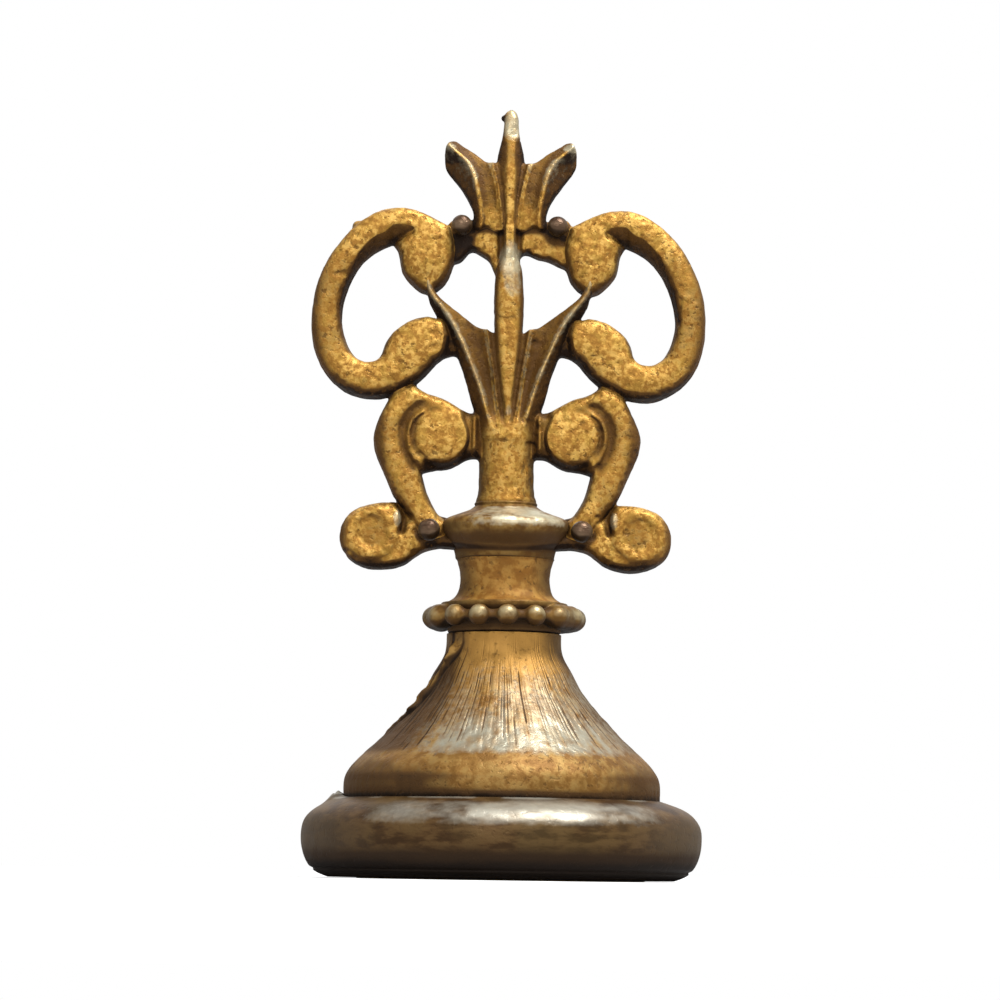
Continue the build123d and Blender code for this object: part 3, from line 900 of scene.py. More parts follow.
@dataclass(frozen=True)
class PlainMetal:
    """Plain turned metal for what lies inside or underneath."""

    name: str
    light: tuple
    dark: tuple
    roughness: float = 0.35

    def material(self) -> bpy.types.Material:
        """Builds the material."""
        ink = Ink(self.name)
        rings = ink.node("ShaderNodeMapping", {}, {"Vector": ink.place(), "Scale": (1.0, 1.0, 9.0)})
        marks = ink.noise(0.8, 3.0, 0.6, rings)
        colour = ink.mixed(marks.step(0.35, 0.7), self.dark, self.light)
        rough = self.roughness + 0.15 * marks
        return ink.finish(colour, rough, 0.9 + 0.05 * marks, marks, 0.01)


@dataclass(frozen=True)
class Finishes:
    """The materials, made once."""

    gilt: bpy.types.Material
    bell: bpy.types.Material
    neck: bpy.types.Material
    worn: bpy.types.Material
    knop: bpy.types.Material
    beads: bpy.types.Material
    pin: bpy.types.Material
    steel: bpy.types.Material
    die: bpy.types.Material

    @classmethod
    def made(cls) -> "Finishes":
        """Builds every material."""
        brown = OldMetal(
            "worn_brass", pale=paint(104, 79, 46), plain=paint(84, 60, 32), deep=paint(60, 40, 18),
            green=paint(84, 70, 38), olive=paint(46, 30, 13), dirt=paint(22, 12, 4), bare=paint(178, 173, 158),
            edge=paint(78, 64, 46), mottle=2.4, blotch=0.3, fray=0.28, pits=0.15, grime=0.14, metal=0.3,
            rough=0.45, grain=0.02, squash=3.2,
        )
        bell = OldMetal(
            "bell_brass", pale=paint(158, 126, 70), plain=paint(142, 104, 50), deep=paint(118, 82, 34),
            green=paint(128, 98, 48), olive=paint(78, 53, 24), dirt=paint(34, 22, 10), bare=paint(166, 161, 142),
            edge=paint(76, 58, 34), mottle=0.8, blotch=0.35, fray=0.6, pits=0.6, metal=0.32, rough=0.46, grain=0.03,
        )
        return cls(
            gilt=OldMetal("gilt_brass").material(),
            bell=bell.material(),
            neck=replace(bell, name="neck_brass", pale=paint(182, 138, 68), plain=paint(166, 118, 52),
                         deep=paint(142, 96, 38), metal=0.15, rough=0.55, pits=0.7).material(),
            worn=brown.material(),
            knop=replace(bell, name="knop_brass", pale=paint(146, 114, 60), plain=paint(122, 88, 38),
                         deep=paint(96, 64, 24), bare=paint(206, 198, 170), pits=0.3, rough=0.5, grain=0.025,
                         dirt=paint(44, 27, 10))
            .material(),
            beads=replace(bell, name="bead_brass", pale=paint(148, 118, 66), plain=paint(126, 92, 42),
                          deep=paint(94, 64, 26), bare=paint(184, 170, 132), mottle=1.6, pits=0.1, grain=0.02)
            .material(),
            pin=replace(brown, name="dark_pin", pale=paint(124, 102, 80), plain=paint(98, 76, 58),
                        deep=paint(70, 50, 36), green=paint(96, 80, 60), grime=0.0, metal=0.5, rough=0.3).material(),
            steel=PlainMetal("steel", paint(178, 178, 176), paint(120, 120, 122)).material(),
            die=PlainMetal("die_brass", paint(186, 148, 84), paint(140, 104, 52), 0.4).material(),
        )


# The pieces


@dataclass
class Build:
    """What a sub-assembly gives: a shape, the node it stands for, and how it is dressed."""

    node: str
    shape: Shape
    body: str
    slot: str
    finish: bpy.types.Material


@dataclass
class Levels:
    """Heights that the sub-assemblies share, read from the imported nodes."""

    ring_top: float
    bell_top: float
    collar_top: float
    openwork_base: float
    stem_base: float

    @classmethod
    def read(cls) -> "Levels":
        """Takes the heights from the frame."""
        top = {name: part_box(name)[1].z / MM for name in ("foot_ring", "bell_shell", "bead_collar", "neck_tube")}
        return cls(
            ring_top=top["foot_ring"],
            bell_top=top["bell_shell"],
            collar_top=top["bead_collar"],
            openwork_base=top["neck_tube"],
            stem_base=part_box("stem")[0].z / MM,
        )


@dataclass
class Foot:
    """Rounded foot ring, threaded inside, with a scribed line low down and a spot of solder on its shoulder."""

    bore: float = 11.95
    outer: float = 15.0
    lip_bore: float = 10.9
    base: float = 0.07
    flange: float = 1.25
    line_height: float = 0.72
    line_width: float = 0.1
    line_depth: float = 0.16
    thread_pitch: float = 0.75
    thread_depth: float = 0.18
    around: int = 420

    def profile(self, top: float) -> np.ndarray:
        """Outside, from the lower edge up to the bore, as a spline."""
        step = self.outer - self.bore
        shares = [
            (0.328, 0.0), (0.672, 0.077), (0.934, 0.282), (1.0, 0.487), (0.951, 0.692), (0.803, 0.803),
            (0.508, 0.906), (0.148, 0.974), (0.0, 1.0),
        ]
        return spline([(self.bore + out * step, self.base + up * (top - self.base)) for out, up in shares], 0.07)

    def shape(self, top: float) -> Shape:
        """Meshes the ring: the outside, then down the threaded bore, over the flange and the lip."""
        outside = self.profile(top)
        inner = [(self.bore, z) for z in np.arange(top - 0.12, self.flange, -0.12)]
        inner += [(self.bore, self.flange), (self.lip_bore, self.flange), (self.lip_bore, self.base)]
        inner += [(r, self.base) for r in (11.4, 12.0, 12.6)]
        profile = np.concatenate([outside, np.array(inner)])

        def relief(angle: np.ndarray, z: np.ndarray, r: np.ndarray) -> np.ndarray:
            """Scribed line, soft dents, thread in the bore and the solder spot."""
            outer = (r > self.bore + 0.2) & (z > self.base + 0.02)
            line = -self.line_depth * bump(z - self.line_height, self.line_width) * outer
            place = np.stack(np.broadcast_arrays(r * np.sin(angle), r * np.cos(angle), z), -1)
            dents = (0.05 * lumps(place, 4.2, 11) + 0.025 * lumps(place, 1.1, 12)) * outer
            turn = (z / self.thread_pitch - angle / TURN) % 1.0
            bore = (np.abs(r - self.bore) < 0.01) & (z > self.flange) & (z < top - 0.3)
            thread = self.thread_depth * (1 - 2 * np.abs(turn - 0.5)) * bore
            return line + dents + thread

        made = turned(profile, self.around, relief)
        blob = made.corners - (-12.35, -0.5, 5.9)
        lift = 0.6 * bump(np.linalg.norm(blob * (0.9, 0.35, 1.0), axis=1), 0.7) * (0.8 + 0.6 * lumps(made.corners, 0.5, 15))
        made.corners = made.corners + np.array([0.05, 0, 1.0]) * lift[:, None]
        x, y, z = made.corners.T
        front = np.degrees(np.arctan2(x, -y))
        # Painted highlight on the front right of the shoulder, a fainter painted sheen round it, a painted highlight
        # along the top inner edge, and pale solder
        shine = ease(3.6, 4.9, z) * (1 - ease(5.3, 5.9, z)) * (1 - ease(0.2, 1.0, np.abs(front - 10) / 56))
        spread = 0.35 * ease(0.0, 0.7, lumps(made.corners, 5.0, 13)) * ease(3.6, 4.8, z)
        lip = 0.5 * bump(z - 5.93, 0.08) * ease(-0.2, 0.6, lumps(made.corners, 1.8, 16))
        drop = 0.7 * bump(np.linalg.norm(made.corners - (-12.4, -0.6, 6.2), axis=1), 0.8)
        uneven = 0.75 + 0.5 * lumps(made.corners, 2.2, 14) + 0.35 * lumps(made.corners * (1, 1, 2), 0.6, 17)
        silver = 0.95 * shine * uneven + spread + lip + drop
        made.marks["silver"] = np.clip(silver, 0, 1)
        # Painted shade: darker towards the bottom of the ring; the scribed line is dark and the bottom edge lighter
        made.marks["stain"] = 0.5 * (1 - ease(0.6, 3.2, z)) + 0.8 * bump(z - self.line_height, 0.16) - 0.6 * (z < 0.3)
        return made


@dataclass
class Bell:
    """Flared bell: threaded skirt, smooth lower band, hand-filed flare and a ragged casting seam on the left."""

    skirt: float = 11.88
    skirt_base: float = 2.7
    skirt_bore: float = 10.2
    waist: float = 4.3
    thread_pitch: float = 0.75
    thread_depth: float = 0.2
    file_low: float = 9.3
    file_high: float = 17.6
    file_lines: int = 176
    around: int = 900

    def outside(self, levels: Levels) -> np.ndarray:
        """Flare from the foot ring's top to the waist, as a spline of radius and height."""
        shares = [
            (1.0, 0.024), (0.993, 0.097), (0.917, 0.194), (0.769, 0.290), (0.600, 0.387), (0.4525, 0.484),
            (0.3127, 0.581), (0.194, 0.677), (0.1095, 0.774), (0.021, 0.871), (0.0, 0.935), (0.0, 1.0),
        ]
        height = levels.bell_top - levels.ring_top
        places = [(self.waist + out * (self.skirt - self.waist), levels.ring_top + up * height) for out, up in shares]
        return spline(places, 0.2)

    def shape(self, levels: Levels) -> Shape:
        """Meshes the bell: threaded skirt, flare, and the hollow inside."""
        skirt = [(self.skirt, z) for z in np.arange(self.skirt_base, levels.ring_top, 0.15)]
        rim = [(self.waist, levels.bell_top - 0.02), (self.waist, levels.bell_top), (self.waist - 0.03, levels.bell_top)]
        inner = [*rim, (1.3, levels.bell_top), (1.3, 13.5), (3.6, 13.5), (7.0, 9.9), (self.skirt_bore, 6.5)]
        inner += [(self.skirt_bore, self.skirt_base)]
        profile = np.concatenate([np.array(skirt), self.outside(levels)[:-1], np.array(inner)])
        cuts = self.file_cuts(np.arange(self.around) * TURN / self.around, profile[:, 1])
        made = turned(profile, self.around, lambda a, z, r: self.relief(a, z, r, levels) - cuts * (r > 4))
        self.sheen_shade_and_dirt(made, levels, cuts.ravel())
        return made

    def file_cuts(self, angle: np.ndarray, z: np.ndarray) -> np.ndarray:
        """Depth of the file lines, a row for each height: each line has its own place, width, depth and ends."""
        random = np.random.default_rng(5)
        count = self.file_lines
        lines = (np.arange(count) + random.uniform(-0.4, 0.4, count)) * TURN / count
        width = random.uniform(0.006, 0.011, count)
        depth = random.uniform(0.02, 0.06, count)
        start = self.file_low + random.uniform(-0.2, 2.2, count)
        stop = self.file_high - random.uniform(-0.3, 2.8, count)
        gap = (angle[:, None] - lines + math.pi) % TURN - math.pi
        reach = ease(0, 0.5, z[:, None] - start) * (1 - ease(-0.8, 0.6, z[:, None] - stop))
        along = np.stack(np.broadcast_arrays(3.7 * np.arange(count), z[:, None], 0.0), -1)
        reach = reach * (0.25 + 0.75 * ease(-0.5, 0.2, lumps(along, 0.9, 30)))
        return reach @ (np.exp(-np.square(gap / width)) * depth).T

    def sheen_shade_and_dirt(self, made: Shape, levels: Levels, cuts: np.ndarray) -> None:
        """Paints a sheen on the front and right of the flare, shade on its flanks, its left and the sides of the lower
        band, and light on the front of the band and at the top, and marks the cuts dark.
        """
        x, y, z = made.corners.T
        front = np.degrees(np.arctan2(x, -y))
        # Painted sheen, in streaks, where the overhead lamp shows on the front and right of the flare
        middle = 10 + 14 * ease(9, 14, z)
        across = 1 - ease(0.45, 1.0, np.abs(front - middle) / (52 + 8 * ease(13, 9.5, z)))
        up = ease(8.8, 9.8, z) * (1 - 0.82 * ease(10.6, 12.8, z)) * (1 - ease(13.0, 17.0, z))
        place = np.stack([front / 1.6, z * 0.16, 0 * z], 1)
        streak = 0.7 + 0.45 * lumps(place, 1.0, 24) + 0.45 * lumps(made.corners, 0.7, 25)
        # A fainter painted sheen round the flare, less of it behind and on the left
        flare = ease(9.0, 9.6, z) * (1 - ease(14.5, 17.2, z))
        behind = 1 - 0.7 * ease(70, 120, np.abs(front))
        left = ease(-18, -58, front)
        spread = flare * behind * (1 - 0.75 * left) * (0.24 + 0.2 * lumps(made.corners, 2.4, 26))
        line = ease(0.01, 0.05, cuts)
        made.marks["silver"] = np.clip((0.95 * across * up * streak + spread) * (1 - 0.75 * line), 0, 1)
        # Painted shade on the flanks, more on the left
        flank = ease(34, 66, np.abs(front - 12)) * ease(8.9, 9.8, z) * (1 - ease(16.2, 18.2, z)) * (1 + 0.3 * left)
        # Painted shade on the lower band away from the front
        low = ease(-2, -36, front) + 0.8 * ease(26, 60, front)
        low = low * (1 - ease(90, 150, np.abs(front))) * bump(z - 7.3, 1.4)
        patches = 0.25 * ease(0.1, 0.7, lumps(made.corners * (1, 1, 2), 2.6, 27)) * (z < 9.2) + 0.2 * bump(z - 7.5, 0.25)
        patches = patches + 0.3 * ease(0, 0.6, lumps(place, 0.8, 29)) * bump(z - 13.2, 2.4)
        # Painted light: lighter on the front of the lower band and round the top
        painted_light = -0.25 * (1 - ease(0.4, 1, np.abs(front - 10) / 40)) * bump(z - 8.4, 0.7)
        painted_light = painted_light - 0.55 * ease(15.0, 16.6, z) * (1 - ease(0.4, 1, np.abs(front - 5) / 70))
        cove = 0.6 * bump(z - levels.ring_top - 0.15, 0.4)
        # Whole gilding near the top, less of it on the left and towards the right as painted shade
        made.marks["fresh"] = ease(13.2, 16.6, z) * (1 - 0.6 * left) * (1 - 0.5 * ease(40, 80, front))
        off = self.from_seam(np.arctan2(x, -y), z, np.hypot(x, y))
        seam = ease(10.5, 11.4, z) * (1.1 * bump(off + 0.85, 0.28) + 0.7 * bump(off - 0.35, 0.2) - 0.5 * bump(off + 0.3, 0.3))
        made.marks["stain"] = np.clip(0.5 * flank + 0.45 * low + cove + 0.75 * line + patches + seam + painted_light, -0.45, 1)

    def from_seam(self, angle: np.ndarray, z: np.ndarray, r: np.ndarray) -> np.ndarray:
        """Distance round the bell from the casting seam, positive to its right."""
        return ((angle - self.seam_angle(z) + math.pi) % TURN - math.pi) * r

    def seam_angle(self, z: np.ndarray) -> np.ndarray:
        """Angle of the casting seam at each height, left of the front."""
        return -np.interp(z, [10.8, 11.5, 12.8, 14.0, 15.5, 17.6], [1.42, 1.36, 1.19, 1.15, 1.08, 0.86])

    def relief(self, angle: np.ndarray, z: np.ndarray, r: np.ndarray, levels: Levels) -> np.ndarray:
        """Thread on the skirt, dents and the casting seam."""
        turn = (z / self.thread_pitch - angle / TURN) % 1.0
        on_skirt = (z < levels.ring_top - 0.1) & (r > self.skirt - 0.05)
        thread = -self.thread_depth * 2 * np.abs(turn - 0.5) * on_skirt
        outer = (z > levels.ring_top + 0.05) & (z < levels.bell_top - 0.01) & (r > 2)
        place = np.stack(np.broadcast_arrays(r * np.sin(angle), r * np.cos(angle), z), -1)
        dents = (0.05 * lumps(place, 3.1, 21) + 0.03 * lumps(place * (1, 1, 0.35), 0.5, 22)) * outer
        dents = dents + 0.045 * lumps(place, 0.55, 33) * bump(z - 11.0, 2.0) * outer
        band = 0.08 * bump(z - 8.0, 0.9)
        off = self.from_seam(angle, z, r)
        off = off + 0.25 * lumps(place, 0.9, 28)
        run = ease(10.5, 11.4, z) * (1 - ease(17.2, 17.9, z))
        ragged = 0.35 + ease(-0.5, 0.5, lumps(place, 0.6, 23))
        seam = run * ragged * (0.42 * bump(off + 0.3, 0.3) - 0.3 * bump(off + 0.85, 0.22) - 0.2 * bump(off - 0.3, 0.16))
        return thread + dents + (band + seam) * outer


@dataclass
class Collar:
    """Ring of beads under the neck."""

    radius: float = 5.25
    edge: float = 4.6
    bead: float = 0.8
    bead_circle: float = 5.38
    beads: int = 16

    def shape(self, levels: Levels) -> Shape:
        """Smooth union of a rounded ring and a circle of balls, less a bore: the angle is folded into one
        bead's share of the turn, so that one ball stands for all."""
        low, high = levels.bell_top, levels.collar_top
        reach = self.bead_circle + self.bead
        lattice = Lattice((-reach, -reach, low), (reach, reach, high), 0.1)
        axes = lattice.axes()
        x, y, z = np.meshgrid(*axes, indexing="ij")
        r = np.hypot(x, y)
        share = TURN / self.beads
        turn = np.arctan2(x, -y) - math.radians(2.6)
        angle = (turn + share / 2) % share - share / 2
        middle = (low + high) / 2 + 0.02
        ball = np.sqrt((r * np.cos(angle) - self.bead_circle) ** 2 + (r * np.sin(angle)) ** 2 + (z - middle) ** 2)
        worn = ease(0.74, 0.95, -x / np.maximum(r, 0.1)) + ease(0.55, 0.8, x / np.maximum(r, 0.1))
        tube = np.hypot(r - 5.05, z - middle) - 0.42 - 0.52 * worn
        ring = rounded(r - 4.27 - 0.5 * ease(low + 0.3, high, z), np.abs(z - middle - 0.2) - (high - low) / 2 - 0.2, 0.22)
        solid = melted(melted(ball - self.bead, ring, 0.12), tube, 0.22)
        place = np.stack([x, y, z], -1)
        near = np.abs(solid) < 0.3
        solid[near] += 0.03 * lumps(place[near], 0.9, 35) + 0.012 * lumps(place[near], 0.35, 36)
        values = np.maximum(solid, np.maximum(low - z, np.maximum(z - high, 1.3 - r)))
        made = net(values, np.array([axis[0] for axis in axes]), lattice.cell)
        x, y, z = made.corners.T
        out = np.hypot(x, y)
        uneven = 0.6 + 0.8 * ease(-0.3, 0.4, lumps(made.corners, 1.4, 37))
        # Painted highlight on the upper half of the beads' outer faces
        made.marks["silver"] = 0.6 * ease(5.5, 6.1, out) * ease(-0.5, 0.5, z - middle) * uneven
        # Darker between the beads, and painted shade low down
        between = 0.6 * ease(5.75, 5.3, out) * ease(1.0, 0.5, np.abs(z - middle))
        made.marks["stain"] = between + 0.2 * ease(-0.6, -0.9, z - middle)
        return made


@dataclass
class Neck:
    """Waisted tube with a cove at its foot."""

    end: float = 3.7
    waist: float = 3.37
    cove: float = 0.75

    def shape(self, levels: Levels) -> Shape:
        """Meshes the neck: waisted outside, plain bore."""
        low, high = levels.collar_top, levels.openwork_base
        z = np.linspace(low, high, 46)
        share = (z - low) / (high - low)
        radius = self.waist + (self.end - self.waist) * (2 * share - 1) ** 2
        radius = radius + self.cove * np.exp(-(z - low) / 0.35)
        profile = np.concatenate([np.stack([radius, z], 1), [(3.66, high), (1.3, high), (1.3, low), (4.4, low)]])

        def relief(angle: np.ndarray, height: np.ndarray, r: np.ndarray) -> np.ndarray:
            """Soft dents and faint turning marks."""
            place = np.stack(np.broadcast_arrays(r * np.sin(angle), r * np.cos(angle), height), -1)
            marks = 0.05 * lumps(place, 1.6, 31) + 0.02 * lumps(place * (0.3, 0.3, 1), 0.25, 32)
            return marks * (r > 2)

        return turned(profile, 200, relief)


@dataclass
class Knop:
    """Bowl-shaped knop with a ridge low down that dips at the front, and a thin ring on top."""

    radius: float = 4.94
    ring: float = 2.28
    dip: float = 0.45

    def shape(self, levels: Levels) -> Shape:
        """Meshes the knop."""
        low, top = levels.openwork_base, levels.stem_base
        bowl = spline(
            [
                (3.72, low), (3.76, low + 0.3), (3.86, low + 0.62), (4.25, low + 1.15), (4.72, low + 1.75),
                (self.radius, low + 2.3), (4.86, low + 2.7), (4.56, low + 3.0), (3.95, low + 3.27), (3.2, low + 3.55),
                (2.68, low + 3.78), (2.46, low + 3.95),
            ],
            0.07,
        )
        ring = spline([(2.46, low + 3.95), (2.36, top - 0.24), (2.4, top - 0.12), (2.34, top)], 0.05)
        profile = np.concatenate([bowl[:-1], ring, [(2.3, top), (1.3, top), (1.3, low), (3.7, low)]])

        def relief(angle: np.ndarray, z: np.ndarray, r: np.ndarray) -> np.ndarray:
            """Dipping seam low on the bowl, and soft dents."""
            outer = (r > 2.1) & (z > low + 0.01)
            line = low + 0.85 - self.dip * np.square(np.cos(angle))
            seam = 0.06 * bump(z - line - 0.3, 0.2) - 0.05 * bump(z - line, 0.2)
            place = np.stack(np.broadcast_arrays(r * np.sin(angle), r * np.cos(angle), z), -1)
            dents = 0.07 * lumps(place, 2.3, 41) + 0.02 * lumps(place, 0.6, 42)
            return (seam + dents) * outer

        made = turned(profile, 300, relief)
        x, y, z = made.corners.T
        front = np.degrees(np.arctan2(x, -y))
        # Painted highlight, in streaks, on the front right of the shoulder
        shoulder = ease(low + 1.9, low + 3.0, z) * (1 - ease(low + 3.7, low + 3.95, z))
        across = 1 - ease(0.3, 1.0, np.abs(front - 16) / 66)
        streak = 0.75 + 0.55 * lumps(made.corners * (1, 1, 3), 0.9, 43) + 0.3 * lumps(made.corners * (1, 1, 3), 0.35, 44)
        made.marks["silver"] = np.clip(1.1 * shoulder * across * streak, 0, 1)
        # Dark at the joint; painted shade along the low seam, stronger on the flanks; painted light on the front of the
        # bowl and round its widest part
        bowl = ease(low + 0.75, low + 1.0, z) * (1 - ease(low + 1.5, low + 2.6, z)) * (1 - ease(25, 75, np.abs(front)))
        joint = bump(z - low, 0.22)
        line = low + 0.85 - self.dip * np.square(np.cos(np.radians(front)))
        ends = 0.5 * bump(z - line, 0.3) * ease(12, 45, np.abs(front))
        stain = 0.3 * joint + ends + 0.22 * bump(z - line - 0.15, 0.35) - 0.05 * bowl - 0.08 * bump(z - low - 2.1, 0.5)
        # Painted highlight on the ring under the stem
        made.marks["stain"] = stain - 0.5 * bump(z - top + 0.12, 0.14)
        return made


@dataclass
class CScroll:
    """Large C-shaped scroll: band, drop-shaped lower end with a sunk link to the leaf, and round upper end."""

    stretches: list[Points] = field(
        default_factory=lambda: [
            [
                (4.5, 49.35), (6.1, 50.2), (8.1, 50.76), (10.2, 50.35), (12.2, 48.9), (14.2, 45.9), (14.97, 42.35),
                (14.16, 38.5), (12.1, 36.5), (9.8, 36.1), (7.9, 36.7), (6.6, 37.5), (5.4, 38.8),
            ],
            [(5.4, 38.8), (4.7, 39.3), (3.7, 39.5)],
            [(3.7, 39.5), (3.7, 42.0)],
            [(3.7, 42.0), (4.9, 42.2), (6.1, 42.45)],
            [
                (6.1, 42.45), (7.2, 42.25), (8.4, 41.55), (9.3, 40.3), (9.8, 39.2), (10.6, 38.95), (11.6, 39.35),
                (12.4, 40.8), (12.6, 42.4), (12.15, 44.5), (11.15, 46.35), (9.9, 47.4), (8.83, 47.88),
            ],
            [
                (8.83, 47.88), (8.45, 47.3), (8.2, 46.0), (7.4, 44.8), (6.3, 44.15), (5.1, 44.6), (4.35, 46.0),
                (4.1, 47.5), (4.5, 49.35),
            ],
        ]
    )
    valley: Points = field(
        default_factory=lambda: [
            (7.3, 48.85), (8.1, 48.35), (8.83, 47.75), (9.9, 47.35), (11.15, 46.3), (12.15, 44.5),
        ]
    )
    valley_width: Points = field(
        default_factory=lambda: [(6.9, 0.1), (7.3, 0.28), (8.0, 0.75), (8.83, 1.2), (10.0, 1.05), (11.4, 0.65), (12.3, 0.0)]
    )
    drop_edge: Points = field(
        default_factory=lambda: [(38.7, 5.4), (39.2, 5.05), (39.9, 4.75), (40.9, 4.6), (41.8, 4.8), (42.6, 5.2)]
    )

    def relief(self, x: np.ndarray, z: np.ndarray, gap: np.ndarray) -> np.ndarray:
        """Slightly crowned faces, a valley that opens into the notch, and the sunk link to the leaf."""
        half = 1.84 + 0.13 * ease(0.3, 1.5, -gap)
        from_valley = distance_to(x, z, spline(self.valley))
        band_side = ((x - 7.3) * 1.15 + (z - 48.85) * 1.53 > 0) | (x > 8.83)
        width = np.interp(x, *np.array(self.valley_width).T)
        bevel = np.where(
            band_side,
            0.95 * np.clip(width - from_valley, 0, None),
            1.0 * np.clip(0.5 - from_valley, 0, None) * ease(7.0, 7.5, x),
        )
        edge = np.interp(z, *np.array(self.drop_edge).T)
        link = (1 - ease(-0.25, 0.3, x - edge)) * (z < 43) * (z > 38)
        disc = np.hypot(x - 6.35, z - 46.9)
        return half - bevel * (z > 43) - 0.95 * link + 0.1 * (1 - ease(0.5, 2.2, disc))

    def stain(self, x: np.ndarray, z: np.ndarray) -> np.ndarray:
        """Dirt in the link and in the valley's narrow end but none on the valley's side, a darker outer band, painted
        shade along the lower outer edge, and painted light at the top.
        """
        from_valley = distance_to(x, z, spline(self.valley))
        inside = ((x - 7.3) * 1.15 + (z - 48.85) * 1.53 > 0) | (x > 8.83)
        valley = (1 - ease(0.3, 1.1, from_valley)) * ease(12.6, 11.0, x) * (z > 44) * inside
        end = bump(np.hypot(x - 8.0, z - 48.15), 0.5)
        edge = np.interp(z, *np.array(self.drop_edge).T)
        link = (1 - ease(-0.3, 0.2, x - edge)) * (z < 43) * (z > 38)
        # Painted shade along the lower outer edge, darker towards the bottom
        outer = (1 - ease(0.1, 1.1, distance_to(x, z, spline(self.stretches[0])))) * ease(48, 40, z)
        band = 0.24 * ease(11.2, 12.6, x) * ease(48.4, 46.4, z) * ease(38, 40, z)
        # The top is lighter, as painted light from above
        return 0.65 * link + 0.3 * end + 0.3 * outer + band + 0.12 * valley - 0.25 * ease(46.5, 50, z)

    def form(self, side: Side) -> Plate:
        """The scroll as a plate."""
        return Plate(self.stretches, self.relief, 0.6, 0.12, self.stain, side=side)


@dataclass
class SScroll:
    """S-shaped scroll whose upper end curls over into a disc, with a hollow and a thin fin between them."""

    stretches: list[Points] = field(
        default_factory=lambda: [
            [
                (7.1, 37.3), (8.5, 36.7), (9.5, 35.1), (10.1, 33.3), (9.94, 32.06), (9.2, 30.3), (8.6, 28.9),
                (7.9, 27.75), (7.15, 26.7), (6.6, 25.7), (6.2, 25.1),
            ],
            [(6.2, 25.1), (5.2, 25.15), (4.4, 25.6)],
            [(4.4, 25.6), (4.4, 26.8)],
            [(4.4, 26.8), (4.94, 27.2)],
            [(4.94, 27.2), (5.55, 28.1), (6.05, 29.22), (6.36, 30.44)],
            [(6.36, 30.44), (5.35, 30.69), (4.34, 30.84), (3.6, 31.2), (2.8, 31.6), (1.7, 31.5)],
            [(1.7, 31.5), (1.7, 35.3)],
            [(1.7, 35.3), (2.9, 35.2), (3.6, 35.5), (5.05, 36.28), (6.07, 36.59), (7.1, 37.3)],
        ]
    )
    hollow: Points = field(
        default_factory=lambda: [(6.3, 35.6), (7.0, 35.15), (7.65, 34.3), (7.85, 33.0), (7.5, 31.8), (7.0, 30.9)]
    )
    fin: Points = field(default_factory=lambda: [(6.4, 35.0), (7.1, 34.45), (7.42, 33.4), (7.33, 32.3), (6.95, 31.4)])
    disc_centre: tuple[float, float] = (5.05, 33.2)
    disc_radius: float = 2.02
    moat_share: Points = field(
        default_factory=lambda: [
            (-180, 0.0), (-110, 0.0), (-80, 0.3), (-40, 0.9), (20, 0.9), (60, 0.55), (95, 0.2), (130, 0.0),
            (180, 0.0),
        ]
    )

    def moat(self, x: np.ndarray, z: np.ndarray, width: float) -> np.ndarray:
        """A narrow groove round the disc, deepest on its outer side."""
        off_x, off_z = x - self.disc_centre[0], z - self.disc_centre[1]
        share = np.interp(np.degrees(np.arctan2(off_z, off_x)), *np.array(self.moat_share).T)
        return bump(np.hypot(off_x, off_z) - self.disc_radius, width) * share

    def relief(self, x: np.ndarray, z: np.ndarray, gap: np.ndarray) -> np.ndarray:
        """A plain face with the hollow, the fin and the groove round the disc, and a low web with a rib."""
        half = 1.84 - 0.32 * bump(distance_to(x, z, spline(self.hollow)), 0.42)
        half = half + 0.13 * bump(distance_to(x, z, spline(self.fin)), 0.16)
        half = half - 0.26 * self.moat(x, z, 0.24)
        disc = np.hypot(x - self.disc_centre[0], z - self.disc_centre[1])
        half = half + 0.12 * (1 - ease(0.4, 1.9, disc))
        return half - 0.6 * self.web(x, z) + 0.25 * bump(x - 2.45, 0.2) * ease(3.2, 2.5, x)

    def web(self, x: np.ndarray, z: np.ndarray) -> np.ndarray:
        """Where the low web shows: between disc and stem, and in a crescent under the disc."""
        off = np.hypot(x - self.disc_centre[0], z - self.disc_centre[1]) - self.disc_radius + 0.06
        inner = ease(4.6, 3.9, x) * np.maximum(ease(34.9, 34.1, z), ease(3.6, 3.1, x))
        crescent = ease(32.6, 31.7, z) * ease(6.5, 5.9, x) * ease(30.1, 30.5, z)
        return ease(0, 0.35, off) * np.maximum(inner, crescent)

    def stain(self, x: np.ndarray, z: np.ndarray) -> np.ndarray:
        """Dirt in the hollow, round the disc, on the web and in patches over the disc."""
        hollow = bump(distance_to(x, z, spline(self.hollow)), 0.42)
        over = bump(np.hypot(x - 5.5, (z - 35.5) * 1.6), 0.9)
        left = (0.2 * ease(6.2, 7.2, x) + 0.33 * ease(8.8, 9.6, x)) * ease(35.6, 34.4, z)
        return 0.3 * hollow + 0.3 * self.moat(x, z, 0.26) + 0.25 * over + 0.3 * self.web(x, z) + left

    def form(self, side: Side) -> Plate:
        """The scroll as a plate."""
        return Plate(self.stretches, self.relief, 0.8, 0.1, self.stain, side=side)


